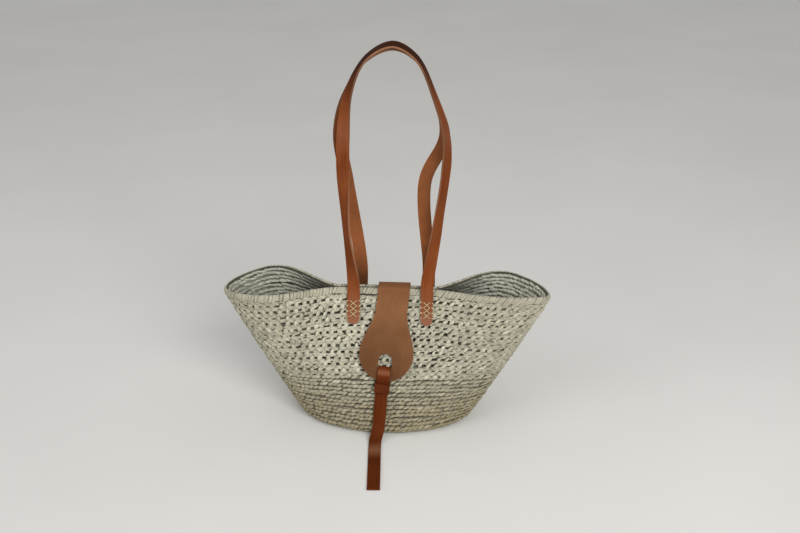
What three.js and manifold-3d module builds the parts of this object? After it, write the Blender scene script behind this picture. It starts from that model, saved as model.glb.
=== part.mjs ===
// A plaited straw tote bag with two leather handles, a closing flap and a leather thong.
// Sizes are millimetres and +Z is up. The origin is the middle of the base, on the floor.
// The front of the bag, where the flap hangs, faces -Y.
import * as THREE from "three";
import { mergeVertices } from "three/addons/utils/BufferGeometryUtils.js";
import Module from "manifold-3d";

const wasm = await Module();
wasm.setup();

// Fits
const CLEARANCE = 0.3; // between two pieces that touch
const SEWN_LIFT = 0.6; // between the wall and leather that is sewn on it

// Straw basket, measured to the middle of its wall
const WALL = 8; // thickness of one course of plait
const HEEL_RADIUS = 11; // round turn from the base into the wall
const HEEL_HALF_WIDTH = 116; // where the straight sides would meet the base
const HEEL_HALF_DEPTH = 68;
const MOUTH_HALF_WIDTH = 218;
const MOUTH_FRONT_DEPTH = 50; // front and rear lobes of the open mouth
const MOUTH_REAR_DEPTH = 90;
const FRONT_LOBE_SKEW = 14; // the left front lobe bulges more than the right one
const RIM_HEIGHT = 193; // top of the wall, below the rim course
const SIDE_BULGE = 2; // how far the end walls swell beyond a straight line
const TIP_DROP = 11; // the ends of the mouth sag below its lobes
const MIDDLE_DIP = 6; // and so does its closed middle
const PINCH_HALF_GAP = 4.8; // the closed middle of the mouth, from the centre plane
const PINCH_START = 10; // height where the wall starts to draw in
const PINCH_POWER = 1.1; // 1 draws in along a straight line
const PINCH_HALF_LENGTH = 55; // closed length either side of the middle
const LOBE_DISTANCE = 180; // from the middle to the full lobe
const RIM_RADIUS = 4.3; // whipped course that closes the rim

// Leather straps
const STRAP_WIDTH = 17;
const STRAP_THICKNESS = 2.6;
const END_LENGTH = 40; // sewn end, from its tip to the bend
const END_TIP_HEIGHT = 151; // height of the rounded tip on the wall
const BEND_TAPER = 7; // leather thins down over this length to the line where it bends
const BEND_EDGE = 0.2; // its thickness there, and how far it stays from that line
const TOP_TILT = 0.17; // the front strap's crown tips towards the front, in radians
const TWIST_END = 0.55; // share of a leg's rise where the twist at its waist is gone

// Front and rear handle. Spacings are between strap middles, shifts are along X. The legs stand up straight
// over standRise, and the right shoulder of the arch is drawn in by the share shoulderDraw.
const FRONT_HANDLE = {
  side: -1, endSpacing: 100, endShift: 6.5, standRise: 20, waistSpacing: 121, waistShift: 8.5, waistRise: 104,
  bowSpacing: 133, bowShift: 13, bowRise: 219, shoulderDraw: 0.15, topShift: 11, topHeight: 531,
  topDepth: 9.2, turnStartLeft: 0.55, turnStartRight: 0, twistLeft: 0.95, twistRight: 0.45,
  tilt: TOP_TILT,
};
const REAR_HANDLE = {
  side: 1, endSpacing: 92, endShift: 11.5, standRise: 38, waistSpacing: 103, waistShift: 0, waistRise: 158,
  bowSpacing: 136, bowShift: 8, bowRise: 220, shoulderDraw: 0.15, topShift: 11, topHeight: 522,
  topDepth: 9.2, turnStartLeft: 0.5, turnStartRight: 0.35, twistLeft: 0, twistRight: 0,
  tilt: 0,
};

// Lacing that sews the leather to the basket
const THREAD = 1.6;
const LACE_ROWS = 4;
const LACE_PITCH = 7.5; // between rows of holes
const LACE_HALF_WIDTH = 4; // holes either side of the strap's middle
const LACE_TIP_MARGIN = 10.5; // from the rounded tip to the first row
const LACE_WRAP = 0.8; // between the strap's edge and the thread that goes round it
const LACE_STEP = 0.6; // two stitches share a hole, this far above and below its middle
const LACE_LIFT = 0.5; // one stitch of each cross passes over the other

// Closing flap
const FLAP_THICKNESS = 2.6;
const FLAP_SHIFT = 11.5; // its fold sits to the right of the middle
const FLAP_TILT = 0.1; // its free end leans to the left, in radians
const FLAP_TOP_WIDTH = 43;
const FLAP_LENGTH = 127; // from the front of the fold to the free end
const FLAP_END_RADIUS = 37;
const FLAP_NECK_LENGTH = 28; // straight part before it widens
const FLAP_FOLD_RADIUS = 5;
const FLAP_LIFT = 3.8; // the thong behind the flap holds its free end off the wall
const FLAP_TAIL_LENGTH = 62; // sewn part on the rear wall
const FLAP_TAIL_CORNER = 14;
const TAIL_LACE_WIDTH = 10;

// Hole near the flap's free end
const HOLE_WIDTH = 19;
const HOLE_HEIGHT = 21;
const HOLE_MARGIN = 17; // leather between the hole and the free end

// Closing thong, knotted through its own slot round the flap's margin
const THONG_THICKNESS = 2.2;
const THONG_WIDTH = 17;
const THONG_HEAD_WIDTH = 21;
const THONG_HEAD_LENGTH = 16; // below the flap's free end
const THONG_CROSSING = 5.5; // below the flap's free end, where it passes through the slot
const THONG_BEND = 21; // below the flap's free end, where the tail swings
const THONG_LANDING = 26; // tail's run down in front of the heel to the floor
const THONG_LANDING_RISE = 3; // halfway along that run, above its rest on the floor
const THONG_FLOOR_RUN = 97;
const THONG_DRIFT = 6; // the tail lands further left than the knot
const THONG_RETURN = 6; // and its end lies further right than its landing

// Facets
const AROUND = 84;
const FACET_SPREAD = 0.35; // moves facets from the tips of the mouth to its middle
const WALL_STEPS = 9;
const HEEL_STEPS = 3;
const RIM_SIDES = 8;
const HANDLE_STEPS = 66;
const ARCH_STEPS = 6;
const TIP_STEPS = 5;
const FLAP_STEPS = 16;
const FOLD_STEPS = 4;
const END_STEPS = 8;
const THONG_STEPS = 26;

const straw = new THREE.MeshStandardMaterial({ color: 0xb9ad8c, roughness: 0.85, metalness: 0 });
const strapLeather = new THREE.MeshStandardMaterial({ color: 0x8a4526, roughness: 0.55, metalness: 0 });
const flapLeather = new THREE.MeshStandardMaterial({ color: 0x6f432b, roughness: 0.6, metalness: 0 });
const thongLeather = new THREE.MeshStandardMaterial({ color: 0x5c2615, roughness: 0.55, metalness: 0 });
const thread = new THREE.MeshStandardMaterial({ color: 0xd8c08a, roughness: 0.8, metalness: 0 });

const part = new THREE.Group();

function addPiece(name, geometry, material) {
  const mesh = new THREE.Mesh(geometry, material.clone());
  mesh.name = name;
  part.add(mesh);
}

function vec(x, y, z) {
  return new THREE.Vector3(x, y, z);
}

// Signed volume, to turn a skin's faces outwards
function signedVolume(points, index) {
  let volume = 0;
  for (let i = 0; i < index.length; i += 3) {
    const [a, b, c] = [points[index[i]], points[index[i + 1]], points[index[i + 2]]];
    volume += a.dot(b.clone().cross(c));
  }
  return volume;
}

// Closed surface through a row of rings. A closed row joins its last ring to its first.
function skin(rings, closed = false) {
  const points = rings.flat();
  const count = rings[0].length;
  const index = [];
  const spans = closed ? rings.length : rings.length - 1;
  for (let i = 0; i < spans; i++) {
    const a = i * count;
    const b = ((i + 1) % rings.length) * count;
    for (let j = 0; j < count; j++) {
      const k = (j + 1) % count;
      index.push(a + j, b + j, b + k, a + j, b + k, a + k);
    }
  }
  if (!closed) {
    const end = (rings.length - 1) * count;
    for (let j = 1; j < count - 1; j++) {
      index.push(0, j, j + 1, end, end + j + 1, end + j);
    }
  }
  if (signedVolume(points, index) < 0) index.reverse();
  const geometry = new THREE.BufferGeometry();
  const places = points.flatMap((point) => point.toArray());
  geometry.setAttribute("position", new THREE.Float32BufferAttribute(places, 3));
  geometry.setIndex(index);
  return geometry;
}

function toSolid(geometry) {
  const bare = geometry.clone();
  bare.deleteAttribute("normal");
  bare.deleteAttribute("uv");
  const merged = mergeVertices(bare);
  return new wasm.Manifold(new wasm.Mesh({
    numProp: 3,
    vertProperties: new Float32Array(merged.attributes.position.array),
    triVerts: new Uint32Array(merged.index.array),
  }));
}

function toGeometry(solid) {
  const mesh = solid.getMesh();
  const geometry = new THREE.BufferGeometry();
  geometry.setAttribute("position", new THREE.BufferAttribute(new Float32Array(mesh.vertProperties), 3));
  geometry.setIndex(new THREE.BufferAttribute(new Uint32Array(mesh.triVerts), 1));
  return geometry;
}

function joinAll(geometries) {
  return toGeometry(geometries.map(toSolid).reduce((whole, next) => whole.add(next)));
}

// Ring of a flat strap: its middle, the direction across it and the direction of its face
function strapRing(middle, across, face, width, thickness) {
  const corners = [[-1, -1], [1, -1], [1, 1], [-1, 1]];
  return corners.map(([i, j]) => middle.clone()
    .addScaledVector(across, i * width / 2)
    .addScaledVector(face, j * thickness / 2));
}

const smooth = THREE.MathUtils.smoothstep;
const lerp = THREE.MathUtils.lerp;

// Basket wall

const HEEL_ARC = HEEL_RADIUS * Math.PI / 2;
const WALL_RUN = HEEL_ARC + RIM_HEIGHT - WALL / 2 - HEEL_RADIUS;

// Height and inset of the wall's middle, a run measured from the edge of the base
function wallProfile(run) {
  if (run < HEEL_ARC) {
    const turn = run / HEEL_RADIUS;
    const height = WALL / 2 + HEEL_RADIUS * (1 - Math.cos(turn));
    return { height, inset: HEEL_RADIUS * (1 - Math.sin(turn)) };
  }
  return { height: WALL / 2 + HEEL_RADIUS + run - HEEL_ARC, inset: 0 };
}

function runAtHeight(height) {
  return HEEL_ARC + height - WALL / 2 - HEEL_RADIUS;
}

function wallHalfWidth(run) {
  const { height, inset } = wallProfile(run);
  const share = (height - WALL / 2) / (RIM_HEIGHT - WALL / 2);
  return lerp(HEEL_HALF_WIDTH, MOUTH_HALF_WIDTH, share) + SIDE_BULGE * Math.sin(Math.PI * share) - inset;
}

// Middle of the wall. The angle runs round the mouth, from +X towards the rear.
function wallMiddle(run, angle) {
  const { height, inset } = wallProfile(run);
  const share = (height - WALL / 2) / (RIM_HEIGHT - WALL / 2);
  const x = wallHalfWidth(run) * Math.cos(angle);
  const frontDepth = MOUTH_FRONT_DEPTH - FRONT_LOBE_SKEW * Math.cos(angle);
  const mouthDepth = Math.sin(angle) < 0 ? frontDepth : MOUTH_REAR_DEPTH;
  const depth = lerp(HEEL_HALF_DEPTH, mouthDepth, share) - inset;
  const pinch = Math.max(0, (height - PINCH_START) / (RIM_HEIGHT - PINCH_START)) ** PINCH_POWER;
  const lobe = smooth(Math.abs(x), PINCH_HALF_LENGTH, LOBE_DISTANCE);
  const drawn = lerp(depth, lerp(PINCH_HALF_GAP, depth, lobe), pinch);
  const drop = TIP_DROP * Math.abs(Math.cos(angle)) ** 3 + MIDDLE_DIP * (1 - lobe);
  return vec(x, drawn * Math.sin(angle), height - share * drop);
}

// Directions at a place on the wall: up along it and out of it
function wallFrame(run, angle) {
  const step = 0.01;
  const low = Math.max(0, run - step);
  const up = wallMiddle(low + 2 * step, angle).sub(wallMiddle(low, angle)).normalize();
  const round = wallMiddle(run, angle + step).sub(wallMiddle(run, angle - step));
  return { up, out: round.cross(up).normalize() };
}

function wallPoint(run, angle, offset) {
  return wallMiddle(run, angle).addScaledVector(wallFrame(run, angle).out, offset);
}

// Place on the front (side -1) or rear (side 1) wall by its X and height
function wallAt(x, height, side, offset) {
  const run = runAtHeight(height);
  return wallPoint(run, side * Math.acos(x / wallHalfWidth(run)), offset);
}

// Angles round the basket, closer together along its front and rear than at its tips
const roundAngles = Array.from({ length: AROUND }, (_, i) => {
  const turn = 2 * Math.PI * i / AROUND;
  return turn + FACET_SPREAD / 2 * Math.sin(2 * turn);
});

function wallSection(angle) {
  const runs = [];
  for (let i = 0; i < HEEL_STEPS; i++) runs.push(HEEL_ARC * i / HEEL_STEPS);
  for (let i = 0; i <= WALL_STEPS; i++) runs.push(lerp(HEEL_ARC, WALL_RUN, i / WALL_STEPS));
  const outside = runs.map((run) => wallPoint(run, angle, WALL / 2));
  const inside = runs.map((run) => wallPoint(run, angle, -WALL / 2));
  return [...outside, ...inside.reverse()];
}

// Middle of the rim course. In the closed middle the front and rear rims lie side by side.
function rimMiddle(angle) {
  const { up, out } = wallFrame(WALL_RUN, angle);
  const middle = wallMiddle(WALL_RUN, angle).addScaledVector(up, RIM_RADIUS + CLEARANCE);
  const closed = 1 - smooth(Math.abs(middle.x), PINCH_HALF_LENGTH, LOBE_DISTANCE);
  const missing = closed * (RIM_RADIUS + CLEARANCE / 2) - Math.abs(middle.y);
  return missing > 0 ? middle.addScaledVector(out, missing / Math.abs(out.y)) : middle;
}

function rimSection(angle) {
  const { up, out } = wallFrame(WALL_RUN, angle);
  const ring = [];
  for (let i = 0; i < RIM_SIDES; i++) {
    const turn = 2 * Math.PI * (i + 0.5) / RIM_SIDES;
    ring.push(rimMiddle(angle)
      .addScaledVector(out, RIM_RADIUS * Math.cos(turn))
      .addScaledVector(up, RIM_RADIUS * Math.sin(turn)));
  }
  return ring;
}

function basketBase() {
  const inset = HEEL_RADIUS + CLEARANCE;
  const place = (angle) => new THREE.Vector2((HEEL_HALF_WIDTH - inset) * Math.cos(angle),
    (HEEL_HALF_DEPTH - inset) * Math.sin(angle));
  const outline = new THREE.Shape(roundAngles.map(place));
  return new THREE.ExtrudeGeometry(outline, { depth: WALL, bevelEnabled: false });
}

addPiece("basket_base", basketBase(), straw);
addPiece("basket_wall", skin(roundAngles.map(wallSection), true), straw);
addPiece("rim_course", skin(roundAngles.map(rimSection), true), straw);

// Leather sewn flat on the wall

const STRIP_SHARES = [-1, -0.5, 0, 0.5, 1];

// One strip across a sewn piece, following the wall
function sewnRing(side, height, middleX, halfWidth, thickness) {
  const seat = WALL / 2 + SEWN_LIFT;
  const places = STRIP_SHARES.map((k) => middleX + k * halfWidth);
  const outer = places.map((x) => wallAt(x, height, side, seat + thickness));
  const inner = places.map((x) => wallAt(x, height, side, seat));
  return [...outer, ...inner.reverse()];
}

// Its top strip, along a straight bend line. Its depth is half the thickness, outwards.
function straightRing(middle, across, halfWidth, depth) {
  const edge = (y) => STRIP_SHARES.map((k) =>
    vec(0, y, 0).add(middle).addScaledVector(across, k * halfWidth));
  return [...edge(depth), ...edge(-depth).reverse()];
}

const BEND_HEIGHT = END_TIP_HEIGHT + END_LENGTH;

function handleEndX(handle, end) {
  return handle.endShift + end * handle.endSpacing / 2;
}

// Middle of the bend line at one end of a handle, clear of the wall across the strap
function handleBend(handle, end) {
  const seat = WALL / 2 + SEWN_LIFT + STRAP_THICKNESS / 2;
  const x = handleEndX(handle, end);
  const places = STRIP_SHARES.map((k) => wallAt(x + k * STRAP_WIDTH / 2, BEND_HEIGHT, handle.side, seat));
  const depth = Math.max(...places.map((place) => Math.abs(place.y)));
  const height = Math.max(...places.map((place) => place.z));
  return vec(x, handle.side * depth, height);
}

// Direction of the line through both bends, on which the handle swings
function handleAxis(handle) {
  return handleBend(handle, 1).sub(handleBend(handle, -1)).normalize();
}

function handleEnd(handle, end) {
  const x = handleEndX(handle, end);
  const radius = STRAP_WIDTH / 2;
  const rings = [];
  for (let i = 1; i <= TIP_STEPS; i++) {
    const turn = Math.PI / 2 * i / TIP_STEPS;
    const height = END_TIP_HEIGHT + radius * (1 - Math.cos(turn));
    rings.push(sewnRing(handle.side, height, x, radius * Math.sin(turn), STRAP_THICKNESS));
  }
  const top = BEND_HEIGHT - BEND_TAPER;
  rings.push(sewnRing(handle.side, lerp(END_TIP_HEIGHT + radius, top, 0.5), x, radius, STRAP_THICKNESS));
  rings.push(sewnRing(handle.side, top, x, radius, STRAP_THICKNESS));
  const bend = handleBend(handle, end).sub(vec(0, 0, BEND_EDGE));
  rings.push(straightRing(bend, handleAxis(handle), radius, handle.side * BEND_EDGE / 2));
  return skin(rings);
}

// One stitch from its left limb over the leather to its right limb
function stitch(leftLimb, rightLimb, { up, out }) {
  const places = [...leftLimb, ...rightLimb];
  const spans = places.slice(1).map((place, i) => place.clone().sub(places[i]).normalize());
  const crossing = leftLimb.length - 1;
  const sideways = spans.map((span, i) => (i === crossing ? out.clone().cross(span).normalize() : up));
  if (sideways[crossing].dot(up) < 0) sideways[crossing].negate();
  const rings = places.map((place, i) => {
    const before = Math.max(0, i - 1);
    const after = Math.min(spans.length - 1, i);
    const along = spans[before].clone().add(spans[after]).normalize();
    const across = sideways[before].clone().add(sideways[after]);
    across.addScaledVector(along, -across.dot(along)).normalize();
    return strapRing(place, across, along.clone().cross(across), THREAD, THREAD);
  });
  return skin(rings);
}

// Crossed lacing over two rows of holes. A null edge ends the thread at its hole in the leather.
function lacing(side, lowHeight, leftX, rightX, thickness, leftEdge, rightEdge) {
  const over = WALL / 2 + SEWN_LIFT + thickness + CLEARANCE + THREAD / 2;
  const under = WALL / 2 + SEWN_LIFT;
  const directions = wallFrame(runAtHeight(lowHeight), side * Math.PI / 2);
  const place = (x, height, offset) => wallAt(x, height, side, offset);
  const stitches = [];
  const limb = (hole, edge, height, lift) => {
    const top = place(hole, height, over + lift);
    if (edge === null) return [top];
    const outside = edge + Math.sign(edge - hole) * (LACE_WRAP + THREAD / 2 + lift);
    return [place(outside, height, under + lift), place(outside, height, over + lift), top];
  };
  for (let row = 0; row < LACE_ROWS - 1; row++) {
    const low = lowHeight + row * LACE_PITCH + LACE_STEP;
    const high = lowHeight + (row + 1) * LACE_PITCH - LACE_STEP;
    for (const [start, stop, lift] of [[low, high, 0], [high, low, LACE_LIFT]]) {
      const leftLimb = limb(leftX, leftEdge, start, lift);
      const rightLimb = limb(rightX, rightEdge, stop, lift).reverse();
      stitches.push(stitch(leftLimb, rightLimb, directions));
    }
  }
  return joinAll(stitches);
}

function handleLacing(handle, end) {
  const x = handleEndX(handle, end);
  const edge = STRAP_WIDTH / 2;
  return lacing(handle.side, END_TIP_HEIGHT + LACE_TIP_MARGIN, x - LACE_HALF_WIDTH, x + LACE_HALF_WIDTH,
    STRAP_THICKNESS, x - edge, x + edge);
}

// Handles

// Middle line of a handle's free loop, from its left bend over the crown to its right bend
function handleRoute(handle) {
  const left = handleBend(handle, -1);
  const right = handleBend(handle, 1);
  const topY = handle.side * handle.topDepth;
  const place = (x, share, above) => {
    const bend = left.clone().lerp(right, share);
    return vec(x, lerp(bend.y, topY, above / (handle.topHeight - bend.z)), bend.z + above);
  };
  const leg = (end) => {
    const share = (end + 1) / 2;
    return [
      place(handleEndX(handle, end), share, BEND_EDGE),
      place(handleEndX(handle, end), share, handle.standRise),
      place(handle.waistShift + end * handle.waistSpacing / 2, share, handle.waistRise),
      place(handle.bowShift + end * handle.bowSpacing / 2, share, handle.bowRise),
    ];
  };
  const arch = [];
  const rise = handle.topHeight - left.clone().lerp(right, 0.5).z;
  for (let i = 1; i < ARCH_STEPS; i++) {
    const turn = Math.PI * i / ARCH_STEPS;
    const shift = lerp(handle.bowShift, handle.topShift, Math.sin(turn));
    const draw = Math.max(0, -Math.sin(2 * turn)) * handle.shoulderDraw;
    const reach = handle.bowSpacing / 2 * Math.cos(turn) * (1 - draw);
    arch.push(place(shift - reach, i / ARCH_STEPS, lerp(handle.bowRise, rise, Math.sin(turn))));
  }
  return new THREE.CatmullRomCurve3([...leg(-1), ...arch, ...leg(1).reverse()]);
}

// The strap turns from lying flat against the wall to lying level over the crown, and may twist at its waist
function handleLoop(handle) {
  const route = handleRoute(handle);
  const crown = vec(0, -Math.cos(handle.tilt), -Math.sin(handle.tilt));
  const taper = BEND_TAPER / route.getLength();
  const shares = [0, taper];
  for (let i = 1; i < HANDLE_STEPS; i++) shares.push(i / HANDLE_STEPS);
  shares.push(1 - taper, 1);
  const rings = shares.map((share) => {
    const middle = route.getPointAt(share);
    const along = route.getTangentAt(share);
    const left = share < 0.5;
    const bend = handleBend(handle, left ? -1 : 1);
    const rise = (middle.z - bend.z) / (handle.topHeight - bend.z);
    const level = Math.PI / 2 * smooth(rise, left ? handle.turnStartLeft : handle.turnStartRight, 1);
    const twist = Math.sin(Math.PI * Math.min(1, rise / TWIST_END));
    const turn = level + twist * (left ? handle.twistLeft : handle.twistRight);
    const flat = handleAxis(handle).multiplyScalar((left ? -1 : 1) * handle.side * Math.cos(turn));
    const across = flat.addScaledVector(crown, Math.sin(turn));
    const face = along.clone().cross(across).normalize();
    const atBend = share === 0 || share === 1;
    if (!atBend) across.copy(face).cross(along);
    return strapRing(middle, across, face, STRAP_WIDTH, atBend ? BEND_EDGE : STRAP_THICKNESS);
  });
  return skin(rings);
}

for (const [name, handle] of [["front_handle", FRONT_HANDLE], ["rear_handle", REAR_HANDLE]]) {
  addPiece(name, handleLoop(handle), strapLeather);
  for (const [word, end] of [["left", -1], ["right", 1]]) {
    addPiece(`${name}_${word}_end`, handleEnd(handle, end), strapLeather);
    addPiece(`${name}_${word}_lacing`, handleLacing(handle, end), thread);
  }
}

// Closing flap

const FLAP_SEAT = WALL / 2 + SEWN_LIFT + FLAP_THICKNESS / 2;
const rimTop = Math.max(rimMiddle(Math.PI / 2).z, rimMiddle(-Math.PI / 2).z) + RIM_RADIUS;
const foldHeight = rimTop + CLEARANCE + FLAP_THICKNESS / 2;

// How far the fold reaches over the rim on one side, clear of the rim and of the wall
function foldReach(side) {
  const wall = wallAt(FLAP_SHIFT, RIM_HEIGHT, side, FLAP_SEAT).y;
  const rim = rimMiddle(side * Math.PI / 2).y + side * (RIM_RADIUS + CLEARANCE + FLAP_THICKNESS / 2);
  return side * Math.max(side * wall, side * rim);
}

const foldRearY = foldReach(1);
const foldFrontY = foldReach(-1);
const wallLean = wallFrame(runAtHeight(RIM_HEIGHT / 2), -Math.PI / 2).up;

// Middle line of the flap in the YZ plane, from its bend over the rear rim down the front wall
function flapRoute() {
  const points = [];
  const flatEnd = foldFrontY + FLAP_FOLD_RADIUS;
  const flatStart = foldRearY - BEND_EDGE;
  for (let i = 0; i <= FOLD_STEPS; i++) {
    points.push(vec(0, lerp(flatStart, flatEnd, i / FOLD_STEPS), foldHeight));
  }
  const turn = Math.PI / 4;
  points.push(vec(0, flatEnd - FLAP_FOLD_RADIUS * Math.sin(turn),
    foldHeight - FLAP_FOLD_RADIUS * (1 - Math.cos(turn))));
  const reach = FLAP_LENGTH * wallLean.z;
  for (let i = 0; i <= END_STEPS; i++) {
    const share = i / END_STEPS;
    const place = wallAt(0, RIM_HEIGHT - reach * share, -1, FLAP_SEAT + FLAP_LIFT * share);
    points.push(vec(0, place.y, place.z));
  }
  return new THREE.CatmullRomCurve3(points);
}

const flapLine = flapRoute();
const flapLineLength = flapLine.getLength();
const foldRun = foldRearY - foldFrontY - BEND_EDGE;

// A place on the flap: across it, along it from the front of the fold, and out of it
function flapPlace(across, along, out) {
  const lean = FLAP_TILT * smooth(along, 0, FLAP_NECK_LENGTH);
  const run = foldRun + along * Math.cos(lean) + across * Math.sin(lean);
  const share = THREE.MathUtils.clamp(run / flapLineLength, 0, 1);
  const direction = flapLine.getTangentAt(share);
  const middle = flapLine.getPointAt(share).addScaledVector(direction, run - share * flapLineLength);
  const face = vec(0, direction.z, -direction.y);
  const x = FLAP_SHIFT - Math.max(0, along) * Math.sin(FLAP_TILT) + across * Math.cos(lean);
  return vec(x, middle.y, middle.z).addScaledVector(face, out);
}

function flapRing(along, halfWidth, thickness = FLAP_THICKNESS) {
  const half = thickness / 2;
  const shares = [-1, 0, 1];
  const outer = shares.map((k) => flapPlace(k * halfWidth, along, half));
  const inner = shares.map((k) => flapPlace(k * halfWidth, along, -half));
  return [...outer, ...inner.reverse()];
}

// Frame of the flap's flat free end: across, down along it and out of it
function flapEndFrame(along) {
  const origin = flapPlace(0, along, 0);
  const down = flapPlace(0, along + 1, 0).sub(flapPlace(0, along - 1, 0)).normalize();
  const across = flapPlace(1, along, 0).sub(flapPlace(-1, along, 0)).normalize();
  const out = down.clone().cross(across).normalize();
  return { origin, down, across: out.clone().cross(down), out };
}

// Arched hole with a level foot, cut square through the flap
function flapHole() {
  const radius = HOLE_WIDTH / 2;
  const outline = new THREE.Shape();
  outline.moveTo(-radius, 0);
  outline.lineTo(radius, 0);
  outline.absarc(0, HOLE_HEIGHT - radius, radius, 0, Math.PI);
  const depth = 4 * FLAP_THICKNESS;
  const settings = { depth, curveSegments: END_STEPS, bevelEnabled: false };
  const cutter = new THREE.ExtrudeGeometry(outline, settings);
  const { origin, down, out } = flapEndFrame(FLAP_LENGTH - HOLE_MARGIN);
  const up = down.clone().negate();
  const basis = new THREE.Matrix4().makeBasis(up.clone().cross(out), up, out);
  basis.setPosition(origin.addScaledVector(out, -depth / 2));
  return cutter.applyMatrix4(basis);
}

function flap() {
  const rings = [flapRing(-foldRun, FLAP_TOP_WIDTH / 2, BEND_EDGE)];
  const roundStart = FLAP_LENGTH - FLAP_END_RADIUS;
  for (let i = 0; i <= FLAP_STEPS; i++) {
    const along = lerp(BEND_TAPER - foldRun, roundStart, i / FLAP_STEPS);
    const widen = smooth(along, FLAP_NECK_LENGTH, roundStart);
    rings.push(flapRing(along, lerp(FLAP_TOP_WIDTH / 2, FLAP_END_RADIUS, widen)));
  }
  for (let i = 1; i < END_STEPS; i++) {
    const turn = Math.PI / 2 * i / END_STEPS;
    rings.push(flapRing(roundStart + FLAP_END_RADIUS * Math.sin(turn), FLAP_END_RADIUS * Math.cos(turn)));
  }
  return toGeometry(toSolid(skin(rings)).subtract(toSolid(flapHole())));
}

const TAIL_END = RIM_HEIGHT - FLAP_TAIL_LENGTH;

// Sewn part of the flap on the rear wall, up to the bend over the rear rim
function flapTail() {
  const rings = [];
  const half = FLAP_TOP_WIDTH / 2;
  for (let i = 0; i <= TIP_STEPS; i++) {
    const turn = Math.PI / 2 * i / TIP_STEPS;
    const height = TAIL_END + FLAP_TAIL_CORNER * (1 - Math.cos(turn));
    const width = half - FLAP_TAIL_CORNER * (1 - Math.sin(turn));
    rings.push(sewnRing(1, height, FLAP_SHIFT, width, FLAP_THICKNESS));
  }
  const middle = lerp(TAIL_END + FLAP_TAIL_CORNER, RIM_HEIGHT, 0.5);
  rings.push(sewnRing(1, middle, FLAP_SHIFT, half, FLAP_THICKNESS));
  rings.push(sewnRing(1, RIM_HEIGHT, FLAP_SHIFT, half, FLAP_THICKNESS));
  const across = vec(1, 0, 0);
  const bend = (height) => vec(FLAP_SHIFT, foldRearY, height);
  rings.push(straightRing(bend(foldHeight - BEND_TAPER), across, half, FLAP_THICKNESS / 2));
  rings.push(straightRing(bend(foldHeight - BEND_EDGE), across, half, BEND_EDGE / 2));
  return skin(rings);
}

addPiece("flap", flap(), flapLeather);
addPiece("flap_tail", flapTail(), flapLeather);
for (const [word, end] of [["left", -1], ["right", 1]]) {
  const edge = FLAP_SHIFT + end * FLAP_TOP_WIDTH / 2;
  const outer = edge - end * (STRAP_WIDTH / 2 - LACE_HALF_WIDTH);
  const inner = outer - end * TAIL_LACE_WIDTH;
  const low = TAIL_END + FLAP_TAIL_CORNER;
  const [leftX, rightX] = end < 0 ? [outer, inner] : [inner, outer];
  const [leftEdge, rightEdge] = end < 0 ? [edge, null] : [null, edge];
  addPiece(`flap_tail_${word}_lacing`,
    lacing(1, low, leftX, rightX, FLAP_THICKNESS, leftEdge, rightEdge), thread);
}

// Closing thong

const knot = flapEndFrame(FLAP_LENGTH);
const LAYER = FLAP_THICKNESS / 2 + CLEARANCE + THONG_THICKNESS / 2;

function knotPlace(down, out) {
  return knot.origin.clone().addScaledVector(knot.down, down).addScaledVector(knot.out, out);
}

// A flat thong through places in the knot, as wide as asked at each step
function thongAlong(route, widthAt, thickness, endThickness = thickness) {
  const rings = [];
  for (let i = 0; i <= THONG_STEPS; i++) {
    const middle = route.getPointAt(i / THONG_STEPS);
    const along = route.getTangentAt(i / THONG_STEPS);
    const face = along.clone().cross(knot.across).normalize();
    const depth = i === THONG_STEPS ? endThickness : thickness;
    rings.push(strapRing(middle, knot.across, face, widthAt(middle), depth));
  }
  return skin(rings);
}

const LOOP_TURNS = [-0.3, 0.3, 0.9, Math.PI / 2]; // round the foot of the hole, in radians
const layerGap = (THONG_THICKNESS + CLEARANCE) / 2 + CLEARANCE;

// One limb of the knot: over the margin on one side, through the slot and down the other side
function knotLimb(side, end) {
  return new THREE.CatmullRomCurve3([
    ...LOOP_TURNS.map((turn) =>
      knotPlace(-HOLE_MARGIN - LAYER * Math.cos(turn), side * LAYER * Math.sin(turn))),
    knotPlace(-HOLE_MARGIN / 2, side * LAYER),
    knotPlace(THONG_THICKNESS / 2, side * LAYER),
    knotPlace(THONG_CROSSING, 0),
    knotPlace(2 * THONG_CROSSING, -side * layerGap),
    knotPlace(end, -side * layerGap),
  ]);
}

// The thong's slotted head comes up behind the flap, and its neck passes through the slot
function thongKnot() {
  const depthOf = (place) => place.clone().sub(knot.origin).dot(knot.down);
  const headWidth = (place) =>
    lerp(THONG_WIDTH, THONG_HEAD_WIDTH, smooth(depthOf(place), -THONG_CROSSING, THONG_CROSSING / 2));
  const head = thongAlong(knotLimb(-1, THONG_HEAD_LENGTH), headWidth, THONG_THICKNESS);
  const neckRoute = knotLimb(1, THONG_BEND - BEND_EDGE);
  const neck = thongAlong(neckRoute, () => THONG_WIDTH, THONG_THICKNESS, BEND_EDGE);
  const slotRoute = new THREE.CatmullRomCurve3([
    knotPlace(THONG_THICKNESS / 2, LAYER),
    knotPlace(THONG_CROSSING, 0),
    knotPlace(2 * THONG_CROSSING, -layerGap),
    knotPlace(THONG_HEAD_LENGTH + CLEARANCE, -layerGap),
  ]);
  const slotWidth = () => THONG_WIDTH + CLEARANCE;
  const slot = thongAlong(slotRoute, slotWidth, THONG_THICKNESS + CLEARANCE);
  return toGeometry(toSolid(head).subtract(toSolid(slot)).add(toSolid(neck)));
}

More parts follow.
